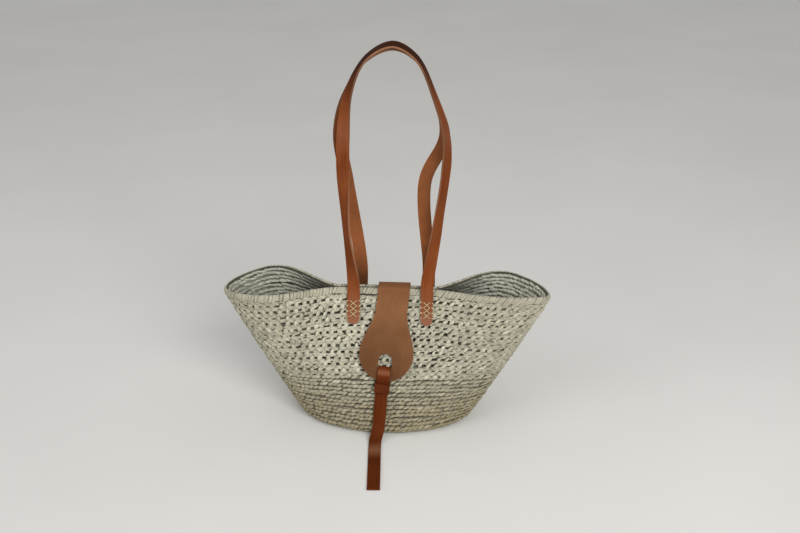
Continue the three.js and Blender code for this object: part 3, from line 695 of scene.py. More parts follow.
# Tone from dull to pale and warmth from cool to golden. The sides are darker and warmer by painted shade, and
# the low courses darker and warmer, partly by painted shade and partly by dirt.
TONE, STRAND_TONE_SPREAD, STITCH_TONE_SPREAD, LOOSE_EVENER, TONE_DRIFT = 0.60, 0.13, 0.12, 0.04, 0.07
WARMTH, WARMTH_SPREAD = 0.08, 0.06
SIDE_PAINTED_SHADE, SIDE_SHADE_WARMTH = 0.24, 0.12
LOW_DIRT_AND_SHADE, LOW_DIRT_AND_SHADE_WARMTH = 0.42, 0.70
LOW_UNTIL, HIGH_FROM = 10 * MM, 110 * MM
SIDE_POWER, SLACK_POWER = 3, 6

# Painted shade: a strand grows dark where it dips below this level of the weave
DIP_LEVEL, DIP_REACH, DIP_POWER = 2.1 * MM, 2.2 * MM, 1.2

# Painted shade on the inner face: dark where the mouth is shut, none where it stands open
SHUT_UNTIL, OPEN_FROM = 82 * MM, 158 * MM
SHUT_PAINTED_SHADE = 0.88


def strand_shape(plan):
    """Middle line of a strand and the offsets of its rings."""
    plan = np.array(plan) * MM
    path, half_width = plan[:, :3], plan[:, 3]
    along = tangents(path)
    across = unit(np.cross([0, 0, 1], along))
    out = np.cross(along, across)
    turn = side_turns(STRAND_SIDES)
    thick = np.minimum(half_width, STRAND_HALF_THICKNESS)
    offsets = (across[:, None] * (np.cos(turn)[None] * half_width[:, None])[..., None]
               + out[:, None] * (np.sin(turn)[None] * thick[:, None])[..., None])
    return path, offsets


def course_line(run):
    """Angles round the basket and the length to each, along the middle of a course."""
    angles = np.linspace(0, 2 * np.pi, COURSE_SAMPLES + 1)
    return angles, lengths_along(wall_middle(np.full_like(angles, run), angles))


def course_angle(line, along):
    angles, lengths = line
    return np.interp(np.mod(along, lengths[-1]), lengths, angles)


def on_course(line, run, places):
    """Places along, up and out of a course, laid on the wall."""
    return wall_point(run + places[..., 1], course_angle(line, places[..., 0]), places[..., 2])


def drift(draw, share, size):
    """Slow variation round a course, in a few waves."""
    count = len(COURSE_WAVES)
    turns = 2 * np.pi * (COURSE_WAVES[:, None] * share[None] + draw.uniform(0, 1, (count, 1)))
    return size * (draw.normal(0, 1, (count, 1)) * np.sin(turns)).sum(0) / math.sqrt(count / 2)


def side_share(share, power):
    """How near a place round the basket is to its sides."""
    return np.abs(np.cos(2 * np.pi * share)) ** power


def slack(share, looseness):
    """How open a course is round the basket: it closes up towards the sides."""
    return looseness * (1 - side_share(share, SLACK_POWER))


def by_strand(values):
    """One value for each strand, to spread over its rings and sides."""
    return values[:, None, None]


def weave_course(strands, basket, run, height, looseness, draw, plans=None, surface=on_course):
    """One course of stitches, each of the planned strands. The run is the middle of the course."""
    line = course_line(run)
    around = line[1][-1]
    roped = plans is not None or looseness < ROPE_LOOSENESS
    count = round(around / (basket.stitch * (ROPE_STITCH if roped else 1)))
    starts = (np.arange(count) + draw.uniform()) * around / count + draw.normal(0, STITCH_JITTER, count)
    share = starts / around
    loose = slack(share, looseness)
    fat = FATNESS + CLOSED_FATTER * (looseness - loose) - LOOSE_THINNER * loose
    fat = fat + draw.normal(0, FAT_SPREAD, count) + drift(draw, share, FAT_DRIFT)
    stretch = np.array([around / count / (DRAWN_STITCH * MM), height / (DRAWN_COURSE * MM), 1])
    sway = drift(draw, share, COURSE_SWAY)
    aside = side_share(share, SIDE_POWER)
    stitch_tone = draw.normal(0, STITCH_TONE_SPREAD - LOOSE_EVENER * looseness, count)
    # Random drift of tone, less the painted shade towards the sides
    stitch_tone = stitch_tone + drift(draw, share, TONE_DRIFT) - SIDE_PAINTED_SHADE * aside
    low = 1 - smoothstep(run, LOW_UNTIL, HIGH_FROM)
    for plan, tone_shift, warm_shift in plans or (ROPE_STRANDS if roped else OUTER_STRANDS):
        path, offsets = strand_shape(plan)
        wobble = draw.normal(0, 1, (count, 3)) * STRAND_WOBBLE * MM
        lean = draw.normal(0, STRAND_LEAN, count)
        places = path[None, :, None] * stretch + offsets[None] * by_strand(fat)[..., None]
        places = places + by_strand(wobble)
        places[..., 0] += by_strand(lean) * places[..., 1] + by_strand(starts)
        places[..., 1] += by_strand(sway) - height / 2
        # Painted shade where the strand dips into the weave
        depth = np.clip((DIP_LEVEL - np.abs(places[..., 2])) / DIP_REACH, 0, 1) ** DIP_POWER
        # Low courses darker and warmer, partly painted shade and partly dirt, and the sides warmer with
        # painted shade
        tone = draw.normal(TONE + tone_shift - LOW_DIRT_AND_SHADE * low, STRAND_TONE_SPREAD, count) + stitch_tone
        warmth = draw.normal(WARMTH + warm_shift + LOW_DIRT_AND_SHADE_WARMTH * low, WARMTH_SPREAD, count)
        warmth = warmth + SIDE_SHADE_WARMTH * aside
        shape = places.shape[:3]
        along = np.broadcast_to(path[None, :, None, 0], shape) + by_strand(starts)
        across = np.broadcast_to(SIDE_FIBRES, shape) + by_strand(draw.uniform(0, 1, count))
        points = surface(line, run, places)
        if plans:
            # Painted shade on the inner rows towards the shut middle of the mouth
            shut = 1 - smoothstep(np.abs(points[..., 0]), SHUT_UNTIL, OPEN_FROM)
            depth = np.maximum(depth, SHUT_PAINTED_SHADE * shut)
        strands.add(points, np.stack([along, across], axis=-1), tone=by_strand(np.clip(tone, 0, 1)),
                    depth=depth, warmth=by_strand(warmth))


CORE_SIDES = 6
CORE_STEP = 5 * MM
CORE_FIBRES = 3 * MM
CORE_HALF_HEIGHT = 0.52
CORE_SET, CORE_HALF_DEPTH = -0.7 * MM, 1.4 * MM
CORE_TONE, CORE_WARMTH = 0.3, 0.2
# Painted shade on the cores, as the shade inside the weave: darker behind the open holes
CORE_SHADE, HOLE_SHADE, CORE_SHADE_SPREAD, DARKEST_CORE_SHADE = 0.42, 0.46, 0.16, 0.95


def core_tube(around, turn, up, out):
    """A tube round a course: its places along, up and out of it, and its fibres."""
    shape = round(around / CORE_STEP), CORE_SIDES
    along = np.broadcast_to((np.arange(shape[0]) * around / shape[0])[:, None], shape)
    places = np.stack([along, np.broadcast_to(up, shape), np.broadcast_to(out, shape)], axis=-1)
    return places, np.stack([along, np.broadcast_to(turn * CORE_FIBRES, shape)], axis=-1)


def lay_core(strands, run, height, looseness, draw):
    """The straw in the heart of a course, painted dark as the shade inside the weave, darkest behind its open
    holes.
    """
    line = course_line(run)
    around = line[1][-1]
    turn = side_turns(CORE_SIDES)
    places, fibres = core_tube(around, turn, CORE_HALF_HEIGHT * height * np.cos(turn),
                               CORE_SET + CORE_HALF_DEPTH * np.sin(turn))
    # Painted shade, deepest where the course stands open
    dark = CORE_SHADE + HOLE_SHADE * slack(places[:, 0, 0] / around, looseness)
    dark = np.clip(dark + draw.normal(0, CORE_SHADE_SPREAD, len(places)), 0, DARKEST_CORE_SHADE)
    strands.add(on_course(line, run, places)[None], fibres, closed=True, tone=CORE_TONE,
                depth=dark[:, None], warmth=CORE_WARMTH)


def course_plan(low, high, height_at):
    """Middle and height of each course between two runs."""
    edges = [low]
    while edges[-1] < high:
        edges.append(edges[-1] + height_at(edges[-1]))
    edges = lerp(low, high, (np.array(edges) - low) / (edges[-1] - low))
    return [(lerp(a, b, 0.5), b - a) for a, b in zip(edges, edges[1:])]


def wall_courses(basket):
    """Middle, height and looseness of each course of the wall."""

    def opening(run):
        return smoothstep(run, basket.tight_until, basket.open_from)

    def height_at(run):
        return lerp(basket.tight_course, basket.open_course, opening(run))

    return [(run, height, opening(run)) for run, height in course_plan(0, WALL_RUN, height_at)]


class ToteOperator:
    """What the operators share."""

    bl_options = {"REGISTER", "UNDO"}

    @property
    def straw(self):
        """The straw's material, made the first time that it is asked for."""
        return bpy.data.materials.get("woven_straw") or straw_finish(bpy.context.scene.tote_basket)


class TOTE_OT_weave_base(ToteOperator, bpy.types.Operator):
    """Weave the oval base, wound outwards from its middle line"""

    bl_idname = "tote.weave_base"
    bl_label = "Weave base"

    def execute(self, context):
        basket = context.scene.tote_basket
        draw = np.random.default_rng(BASE_SEED)
        strands = Strands()
        for run, height in course_plan(-BASE_RUN, 0, lambda run: basket.tight_course):
            lay_core(strands, run, height, 0, draw)
            weave_course(strands, basket, run, height, 0, draw)
            weave_course(strands, basket, run, height, 0, draw, INNER_STRANDS)
        piece = strands.finish("base_courses", self.straw)
        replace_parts(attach(piece, "basket"), "basket_base")
        return {"FINISHED"}


WALL_BANDS = "lowest", "lower", "middle", "upper", "highest"
INNER_BANDS = "low", "high"


class TOTE_OT_weave_wall(ToteOperator, bpy.types.Operator):
    """Weave the wall, tight below and open above, and the twisted rows on its inner face"""

    bl_idname = "tote.weave_wall"
    bl_label = "Weave wall"

    def execute(self, context):
        basket = context.scene.tote_basket
        draw = np.random.default_rng(WALL_SEED)
        courses = wall_courses(basket)
        for word, band in self.bands(WALL_BANDS, courses):
            strands = Strands()
            for run, height, looseness in band:
                lay_core(strands, run, height, looseness, draw)
                weave_course(strands, basket, run, height, looseness, draw)
            self.place(strands.finish(f"wall_{word}_stitches", self.straw))
        for word, band in self.bands(INNER_BANDS, course_plan(0, WALL_RUN, lambda run: basket.inner_course)):
            strands = Strands()
            for run, height in band:
                weave_course(strands, basket, run, height, 0, draw, INNER_STRANDS)
            self.place(strands.finish(f"wall_{word}_inner_rows", self.straw))
        return {"FINISHED"}

    def bands(self, words, courses):
        share = math.ceil(len(courses) / len(words))
        return [(word, courses[band * share:(band + 1) * share]) for band, word in enumerate(words)]

    def place(self, piece):
        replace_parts(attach(piece, "basket"), "basket_wall")


# Mean and spread of the whip stitches in millimetres: foot below the rim, lean along it and half their width
WHIP_FOOT, WHIP_LEAN, WHIP_HALF_WIDTH = (4.4, 0.9), (2.2, 0.4), (2.9, 0.25)
WHIP_JITTER = 0.3 * MM
WHIP_HALF_THICKNESS, WHIP_UNEVENNESS = 0.5 * MM, 0.07
WHIP_FOOT_STEPS, WHIP_TURN_STEPS, WHIP_SIDES = 4, 10, 6
WHIP_TURN_DEGREES = 118
WHIP_FOOT_SLANT = 0.5
WHIP_ABOVE, WHIP_INSET = 0.35 * MM, 0.95 * MM
WHIP_FIBRES = 4 * MM
WHIP_TONE, WHIP_TONE_SPREAD, WHIP_WARMTH = 0.46, 0.08, 0.18
# Painted shade on the lower halves of the whip stitches
WHIP_UNDERSIDE, WHIP_UNDERSIDE_SHADE = 0.1, 0.35
WHIP_DROP = 1.4 * MM
# The rim's core is painted dark as the shade under the rim
RIM_CORE_BELOW, RIM_CORE_INSET, RIM_CORE_SHADE = 0.3 * MM, 1.5 * MM, 0.9
RIM_ROW = 6.4 * MM
RIM_ROW_DROP = 0.8 * MM
STEEPEST_OUT = 0.5


def rim_middle(angle):
    """Middle of the rim course and the directions up and out.

    In the closed middle of the mouth two rims lie side by side."""
    run = np.full_like(angle, WALL_RUN)
    up, out = wall_frame(run, angle)
    middle = wall_middle(run, angle) + up * (RIM_RADIUS + CLEARANCE)
    closed = 1 - smoothstep(np.abs(middle[..., 0]), PINCH_HALF_LENGTH, LOBE_DISTANCE)
    missing = closed * (RIM_RADIUS + CLEARANCE / 2) - np.abs(middle[..., 1])
    push = np.maximum(missing, 0) / np.maximum(np.abs(out[..., 1]), STEEPEST_OUT)
    return middle + out * push[..., None], up, out


class TOTE_OT_whip_rim(ToteOperator, bpy.types.Operator):
    """Whip the rim closely with straw over its own core, above a last twisted row inside"""

    bl_idname = "tote.whip_rim"
    bl_label = "Whip rim"

    def execute(self, context):
        basket = context.scene.tote_basket
        draw = np.random.default_rng(RIM_SEED)
        strands = Strands()
        line = course_line(WALL_RUN)
        self.add_whipping(strands, line, basket.whip, draw)
        self.add_core(strands, line)
        weave_course(strands, basket, WALL_RUN - RIM_ROW_DROP, RIM_ROW, 0, draw, INNER_STRANDS, self.on_rim)
        piece = strands.finish("rim_whipping", self.straw)
        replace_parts(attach(piece, "basket"), "rim_course")
        return {"FINISHED"}

    def add_whipping(self, strands, line, stitch, draw):
        """The stitches, each from its foot on the wall up and over the rim."""
        around = line[1][-1]
        count = round(around / stitch)
        starts = np.arange(count) * around / count + draw.normal(0, WHIP_JITTER, count)
        turn = np.concatenate([np.zeros(WHIP_FOOT_STEPS), np.linspace(0, WHIP_TURN_DEGREES, WHIP_TURN_STEPS)])
        turn = np.radians(turn)
        foot = np.clip(1 - np.arange(len(turn)) / WHIP_FOOT_STEPS, 0, 1)
        foot = foot * draw.normal(*WHIP_FOOT, count)[:, None] * MM
        bead = -side_turns(WHIP_SIDES)
        lean = draw.normal(*WHIP_LEAN, count)[:, None] * MM
        half_width = by_strand(draw.normal(*WHIP_HALF_WIDTH, count)) * MM
        thick = WHIP_HALF_THICKNESS * np.sin(bead) + by_strand(draw.normal(0, WHIP_UNEVENNESS, count)) * MM
        along = starts[:, None] + lean * np.sin(turn)[None] - WHIP_FOOT_SLANT * foot
        places = np.stack([
            along[..., None] + half_width * np.cos(bead),
            np.sin(turn)[None, :, None] * (RIM_RADIUS + WHIP_ABOVE + thick) - foot[..., None],
            np.cos(turn)[None, :, None] * (RIM_RADIUS - WHIP_INSET + thick),
        ], axis=-1)
        tone = np.clip(draw.normal(WHIP_TONE, WHIP_TONE_SPREAD, count), 0, 1)
        # Painted shade on the undersides of the whip stitches
        depth = WHIP_UNDERSIDE_SHADE * (np.sin(bead) < WHIP_UNDERSIDE)
        shape = places.shape[:3]
        fibres = np.stack([np.broadcast_to(turn[None, :, None] * WHIP_FIBRES, shape),
                           np.broadcast_to(bead * MM, shape) + by_strand(starts)], axis=-1)
        strands.add(self.on_rim(line, WALL_RUN, places), fibres, tone=by_strand(tone), depth=depth,
                    warmth=WHIP_WARMTH)

    def add_core(self, strands, line):
        """The straw that the whipping binds, painted dark as the shade under the rim."""
        turn = -side_turns(CORE_SIDES)
        places, fibres = core_tube(line[1][-1], turn, (RIM_RADIUS - RIM_CORE_BELOW) * np.sin(turn),
                                   (RIM_RADIUS - RIM_CORE_INSET) * np.cos(turn))
        strands.add(self.on_rim(line, WALL_RUN, places)[None], fibres, closed=True, tone=CORE_TONE,
                    depth=RIM_CORE_SHADE, warmth=CORE_WARMTH)

    def on_rim(self, line, run, places):
        """Places along, above and out of the rim's middle, lower by what the run is below the rim."""
        middle, up, out = rim_middle(course_angle(line, places[..., 0]))
        return middle + up * (places[..., 1:2] + run - WALL_RUN - WHIP_DROP) + out * places[..., 2:3]


# Leather

EDGE_ROUND, THONG_EDGE_ROUND = 0.55 * MM, 0.45 * MM
ROUND_SEGMENTS = 3
ROUND_ANGLE, SMOOTH_ANGLE = math.radians(50), math.radians(48)


def edge_columns(count):
    """Places across leather from -1 to 1, closest at its edges."""
    return np.sin(np.linspace(-np.pi / 2, np.pi / 2, count))


def lay_leather(name, rows, materials):
    """A grid primitive laid along rows of places."""
    count, columns = rows.shape[:2]
    bpy.ops.object.select_all(action="DESELECT")
    bpy.ops.mesh.primitive_grid_add(x_subdivisions=columns - 1, y_subdivisions=count - 1, size=2)
    piece = bpy.context.object
    piece.name = piece.data.name = name
    piece.data.vertices.foreach_set("co", rows.astype(np.float32).ravel())
    stretch_uv(piece.data, rows)
    for material in materials:
        piece.data.materials.append(material)
    return piece


def stretch_uv(mesh, rows):
    """Makes the map's units metres across and along the leather."""
    width = np.linalg.norm(np.diff(rows, axis=1), axis=2).sum(1).max()
    length = np.linalg.norm(np.diff(rows[:, rows.shape[1] // 2], axis=0), axis=1).sum()
    layer = mesh.uv_layers.active.data
    uv = np.zeros(len(layer) * 2, np.float32)
    layer.foreach_get("uv", uv)
    uv = uv.reshape(-1, 2) * np.array([width, length], np.float32)
    layer.foreach_set("uv", uv.ravel())


def thicken(piece, thickness, edge_round=EDGE_ROUND):
    """Gives laid leather its thickness, its flesh side, its cut edge and a slight round on the edges."""
    bpy.context.view_layer.objects.active = piece
    piece.select_set(True)
    bpy.ops.object.modifier_add(type="SOLIDIFY")
    solidify = piece.modifiers[-1]
    solidify.thickness = thickness
    solidify.offset = 0
    solidify.use_even_offset = True
    solidify.material_offset = 1
    solidify.material_offset_rim = 2
    bpy.ops.object.modifier_apply(modifier=solidify.name)
    bpy.ops.object.modifier_add(type="BEVEL")
    rounding = piece.modifiers[-1]
    rounding.width = edge_round
    rounding.segments = ROUND_SEGMENTS
    rounding.limit_method = "ANGLE"
    rounding.angle_limit = ROUND_ANGLE
    bpy.ops.object.modifier_apply(modifier=rounding.name)
    bpy.ops.object.shade_smooth_by_angle(angle=SMOOTH_ANGLE)


def sewn_heights(tip, shoulder, top, tip_rows, level_rows):
    """Heights of the rows of sewn leather: from its round tip to its shoulder, then level up to its top."""
    heights = [lerp(tip, shoulder, share) for share in np.linspace(0, 1, tip_rows, endpoint=False)]
    return heights + [np.full_like(tip, height) for height in np.linspace(shoulder, top, level_rows)]


STRAP_COLUMNS = edge_columns(11)
STRAP_ROWS = 300
TIP_ROWS, SEWN_ROWS = 5, 14
SHOULDER_ABOVE_TIP = 1.5 * MM
SEWN_BELOW_BEND = 4 * MM
LOOP_TRIM = 2


def handle_end_x(handle, end):
    return handle["end_shift"] + end * handle["end_spacing"] / 2


def handle_bend(handle, end):
    """Middle of the line where a handle bends away from the wall."""
    x = handle_end_x(handle, end)
    places = wall_at(x + STRIP_SHARES * STRAP_WIDTH / 2, BEND_HEIGHT, handle["side"], STRAP_SEAT)
    return np.array([x, handle["side"] * np.abs(places[:, 1]).max(), places[:, 2].max()])


def handle_route(handle):
    """Middle line of the free loop, from its left bend over the crown to its right bend."""
    left, right = handle_bend(handle, -1), handle_bend(handle, 1)
    top_y = handle["side"] * handle["top_depth"]

    def place(x, share, above):
        bend = lerp(left, right, share)
        return [x, lerp(bend[1], top_y, above / (handle["top_height"] - bend[2])), bend[2] + above]

    def leg(end):
        share = (end + 1) / 2
        stops = [(handle_end_x(handle, end), 0), (handle_end_x(handle, end), handle["stand_rise"])]
        for word in ("waist", "bow"):
            x = handle[f"{word}_shift"] + end * handle[f"{word}_spacing"] / 2
            stops.append((x, handle[f"{word}_rise"]))
        return [place(x, share, above) for x, above in stops]

    rise = handle["top_height"] - lerp(left, right, 0.5)[2]
    arch = []
    for step in range(1, ARCH_STEPS):
        turn = math.pi * step / ARCH_STEPS
        shift = lerp(handle["bow_shift"], handle["top_shift"], math.sin(turn))
        draw = max(0, -math.sin(2 * turn)) * handle["shoulder_draw"]
        reach = handle["bow_spacing"] / 2 * math.cos(turn) * (1 - draw)
        arch.append(place(shift - reach, step / ARCH_STEPS, lerp(handle["bow_rise"], rise, math.sin(turn))))
    return spline([*leg(-1), *arch, *reversed(leg(1))], STRAP_ROWS)


def loop_rows(handle):
    """The free loop's rows: flat against the wall at its feet, twisted at its waist, level over the crown."""
    route = handle_route(handle)
    along = tangents(route)
    left, right = handle_bend(handle, -1), handle_bend(handle, 1)
    axis = unit(right - left)
    crown = np.array([0, -math.cos(handle["tilt"]), -math.sin(handle["tilt"])])
    on_left = np.arange(len(route)) < len(route) / 2
    foot = np.where(on_left, left[2], right[2])
    start = np.where(on_left, handle["turn_left"], handle["turn_right"])
    rise = (route[:, 2] - foot) / (handle["top_height"] - foot)
    twist = np.where(on_left, handle["twist_left"], handle["twist_right"])
    turn = np.pi / 2 * smoothstep(rise, start, 1) + twist * np.sin(np.pi * np.clip(rise / TWIST_END, 0, 1))
    toward = np.where(on_left, -1, 1) * handle["side"]
    across = axis * (toward * np.cos(turn))[:, None] + crown * np.sin(turn)[:, None]
    face = unit(np.cross(along, across))
    across = np.cross(face, along)
    return route[:, None] + across[:, None] * (STRAP_COLUMNS * STRAP_WIDTH / 2)[None, :, None]


def sewn_rows(handle, end):
    """A sewn end's rows, from its round tip up to just below its bend."""
    radius = STRAP_WIDTH / 2
    x = handle_end_x(handle, end) + end * handle["side"] * STRAP_COLUMNS * radius
    tip = END_TIP_HEIGHT + radius * (1 - np.sqrt(1 - STRAP_COLUMNS ** 2))
    shoulder = END_TIP_HEIGHT + radius + SHOULDER_ABOVE_TIP
    heights = sewn_heights(tip, shoulder, BEND_HEIGHT - SEWN_BELOW_BEND, TIP_ROWS, SEWN_ROWS)
    return np.stack([wall_at(x, height, handle["side"], STRAP_SEAT) for height in heights])


class TOTE_OT_make_handles(ToteOperator, bpy.types.Operator):
    """Lay both handles, each one strap from its sewn end over the crown to its other end"""

    bl_idname = "tote.make_handles"
    bl_label = "Make handles"

    def execute(self, context):
        leather = context.scene.tote_leather
        grain = leather_finish("strap_grain", leather.strap, leather.strap_worn, roughness=0.52, streak=0.6,
                               pore_depth=0.10 * MM, shades=STRAP_SHADES, pale_nap_and_highlight=leather.strap_highlight,
                               highlight_places=STRAP_HIGHLIGHTS)
        flesh = rough_finish("strap_flesh", leather.flesh, brighter(leather.flesh, STRAP_FLESH_PALE),
                             FLESH_SHADES)
        edge = rough_finish("strap_edge", leather.raw_edge, brighter(leather.raw_edge, STRAP_EDGE_PALE),
                            EDGE_SHADES)
        for word, handle in HANDLES.items():
            node = f"{word}_handle"
            loop = loop_rows(handle)[LOOP_TRIM:-LOOP_TRIM]
            rows = np.concatenate([sewn_rows(handle, -1), loop, sewn_rows(handle, 1)[::-1]])
            piece = lay_leather(f"{word}_handle_strap", rows, (grain, flesh, edge))
            thicken(piece, STRAP_THICKNESS)
            bend = lerp(handle_bend(handle, -1), handle_bend(handle, 1), 0.5)
            reach = np.array([0, 0, BEND_BLEND])
            bend - reach
            bend + reach
            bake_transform(piece)
            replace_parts(piece, node, f"{node}_left_end", f"{node}_right_end")
        return {"FINISHED"}


# Flap and thong

FLAP_SEAT = WALL / 2 + SEWN_LIFT + FLAP_THICKNESS / 2
REAR_MIDDLE, FRONT_MIDDLE = np.array(np.pi / 2), np.array(-np.pi / 2)
FLAP_COLUMNS = edge_columns(25)
FLAP_SAMPLES, FLAP_SMOOTHING = 800, 60
FOLD_POINTS, FRONT_POINTS = 5, 9


def fold_reach(side):
    """How far the fold reaches over the rim on one side, clear of the rim and of the wall."""
    wall = wall_at(FLAP_SHIFT, RIM_HEIGHT, side, FLAP_SEAT)[1]
    rim = rim_middle(side * REAR_MIDDLE)[0][1] + side * (RIM_RADIUS + CLEARANCE + FLAP_THICKNESS / 2)
    return side * max(side * wall, side * rim)


RIM_TOP = max(rim_middle(angle)[0][2] for angle in (REAR_MIDDLE, FRONT_MIDDLE)) + RIM_RADIUS
FOLD_HEIGHT = RIM_TOP + CLEARANCE + FLAP_THICKNESS / 2
FOLD_REAR_Y, FOLD_FRONT_Y = fold_reach(1), fold_reach(-1)
FOLD_RUN = FOLD_REAR_Y - FOLD_FRONT_Y


def flap_line():
    """Middle line of the flap in the YZ plane, from its bend over the rear rim down the front wall."""
    flat_end = FOLD_FRONT_Y + FLAP_FOLD_RADIUS
    points = [[0, y, FOLD_HEIGHT] for y in np.linspace(FOLD_REAR_Y, flat_end, FOLD_POINTS)]
    turn = math.pi / 4
    points.append([0, flat_end - FLAP_FOLD_RADIUS * math.sin(turn),
                   FOLD_HEIGHT - FLAP_FOLD_RADIUS * (1 - math.cos(turn))])
    reach = FLAP_LENGTH * wall_frame(run_at(RIM_HEIGHT / 2), FRONT_MIDDLE)[0][2]
    for share in np.linspace(0, 1, FRONT_POINTS):
        place = wall_at(0, RIM_HEIGHT - reach * share, -1, FLAP_SEAT + FLAP_LIFT * share)
        points.append([0, place[1], place[2]])
    line = spline(points, FLAP_SAMPLES)
    for _ in range(FLAP_SMOOTHING):
        line[1:-1] = (line[:-2] + 2 * line[1:-1] + line[2:]) / 4
    return line


FLAP_LINE = flap_line()
FLAP_RUNS = lengths_along(FLAP_LINE)
FLAP_TANGENTS = tangents(FLAP_LINE)


def flap_place(across, along):
    """A place in the middle of the flap's thickness: across it, and along it from the front of the fold."""
    across, along = np.broadcast_arrays(np.asarray(across, float), np.asarray(along, float))
    lean = FLAP_TILT * smoothstep(along, 0, FLAP_NECK_LENGTH)
    run = FOLD_RUN + along * np.cos(lean) + across * np.sin(lean)
    inside = np.clip(run, 0, FLAP_RUNS[-1])
    direction = unit(value_at(inside, FLAP_RUNS, FLAP_TANGENTS))
    middle = value_at(inside, FLAP_RUNS, FLAP_LINE) + direction * (run - inside)[..., None]
    middle[..., 0] = FLAP_SHIFT - np.maximum(0, along) * math.sin(FLAP_TILT) + across * np.cos(lean)
    return middle


def flap_end_frame(along):
    """Middle of the flap's free end, and the directions across, down along and out of it."""
    origin = flap_place(0, along)
    down = unit(flap_place(0, along + MM) - flap_place(0, along - MM))
    across = unit(flap_place(MM, along) - flap_place(-MM, along))
    out = unit(np.cross(down, across))
    return origin, np.cross(out, down), down, out


TAIL_CORNER_HEIGHT = RIM_HEIGHT - FLAP_TAIL_LENGTH + FLAP_TAIL_CORNER
TAIL_SHOULDER = 2 * MM
ROUND_LEAD = 10 * MM
TAIL_TIP_ROWS, TAIL_ROWS, FOLD_ROWS, FRONT_ROWS, ROUND_ROWS = 6, 16, 4, 40, 21


def front_row(along):
    """One row of the flap's front, as wide as the flap is there."""
    widen = smoothstep(along, FLAP_NECK_LENGTH, FLAP_LENGTH - FLAP_END_RADIUS)
    return flap_place(-FLAP_COLUMNS * lerp(FLAP_TOP_WIDTH / 2, FLAP_END_RADIUS, widen), along)


def flap_rows():
    """The flap's rows, from the sewn tail on the rear wall over the rim to its round free end."""
    half = FLAP_TOP_WIDTH / 2
    x = -FLAP_COLUMNS * half
    beyond = np.maximum(np.abs(x) - (half - FLAP_TAIL_CORNER), 0)
    foot = TAIL_CORNER_HEIGHT - np.sqrt(FLAP_TAIL_CORNER ** 2 - beyond ** 2)
    shoulder = TAIL_CORNER_HEIGHT + TAIL_SHOULDER
    heights = sewn_heights(foot, shoulder, RIM_HEIGHT - MM, TAIL_TIP_ROWS, TAIL_ROWS)
    rows = [wall_at(FLAP_SHIFT + x, height, 1, FLAP_SEAT) for height in heights]
    corner = FLAP_FOLD_RADIUS
    for turn in np.linspace(1 / FOLD_ROWS, 1, FOLD_ROWS) * np.pi / 2:
        y = FOLD_REAR_Y - corner * (1 - math.cos(turn))
        z = FOLD_HEIGHT - corner * (1 - math.sin(turn))
        rows.append(np.stack([FLAP_SHIFT + x, np.full_like(x, y), np.full_like(x, z)], axis=-1))
    round_start = FLAP_LENGTH - FLAP_END_RADIUS
    start = round_start - ROUND_LEAD
    rows += [front_row(along) for along in np.linspace(corner - FOLD_RUN + MM, start, FRONT_ROWS)]
    reach = round_start + FLAP_END_RADIUS * np.sqrt(1 - FLAP_COLUMNS ** 2)
    rows += [front_row(lerp(start, reach, share)) for share in np.linspace(0, 1, ROUND_ROWS + 1)[1:]]
    return np.stack(rows)


HOLE_ARC_POINTS = 17
CUTTER_DEPTH = 4 * FLAP_THICKNESS


def cut_hole(piece):
    """Cuts the arched hole near the flap's free end with a cutter shaped from a circle."""
    origin, across, down, out = flap_end_frame(FLAP_LENGTH - HOLE_MARGIN)
    radius = HOLE_WIDTH / 2
    turns = np.linspace(0, np.pi, HOLE_ARC_POINTS)
    outline = [(radius * math.cos(t), HOLE_HEIGHT - radius + radius * math.sin(t)) for t in turns]
    outline += [(-radius, 0), (radius, 0)]
    bpy.ops.object.select_all(action="DESELECT")
    bpy.ops.mesh.primitive_circle_add(vertices=len(outline), fill_type="NGON")
    cutter = bpy.context.object
    places = [origin + across * a - down * b - out * CUTTER_DEPTH / 2 for a, b in outline]
    cutter.data.vertices.foreach_set("co", np.array(places, np.float32).ravel())
    bpy.ops.object.mode_set(mode="EDIT")
    bpy.ops.mesh.select_all(action="SELECT")
    bpy.ops.mesh.extrude_region_move(TRANSFORM_OT_translate={"value": tuple(out * CUTTER_DEPTH)})
    bpy.ops.mesh.select_all(action="SELECT")
    bpy.ops.mesh.normals_make_consistent(inside=False)
    bpy.ops.object.mode_set(mode="OBJECT")
    cutter.select_set(False)
    bpy.context.view_layer.objects.active = piece
    piece.select_set(True)
    bpy.ops.object.modifier_add(type="BOOLEAN")
    cut = piece.modifiers[-1]
    cut.operation = "DIFFERENCE"
    cut.object = cutter
    cut.solver = "EXACT"
    bpy.ops.object.modifier_apply(modifier=cut.name)
    bpy.data.objects.remove(cutter)


class TOTE_OT_make_flap(ToteOperator, bpy.types.Operator):
    """Lay the closing flap over the rim and cut its hole"""

    bl_idname = "tote.make_flap"
    bl_label = "Make flap"

    def execute(self, context):
        leather = context.scene.tote_leather
        grain = leather_finish("flap_grain", leather.flap, leather.flap_worn, roughness=0.55, streak=0.25,
                               pore_depth=0.08 * MM, shades=FLAP_SHADES)
        flesh = rough_finish("flap_flesh", leather.flesh, brighter(leather.flesh, FLAP_FLESH_PALE))
        edge = rough_finish("flap_edge", brighter(leather.flap, FLAP_EDGE_DARK),
                            brighter(leather.flap_worn, FLAP_EDGE_WORN))
        piece = lay_leather("closing_flap", flap_rows(), (grain, flesh, edge))
        thicken(piece, FLAP_THICKNESS)
        cut_hole(piece)
        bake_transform(piece)
        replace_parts(piece, "flap", "flap_tail")
        return {"FINISHED"}


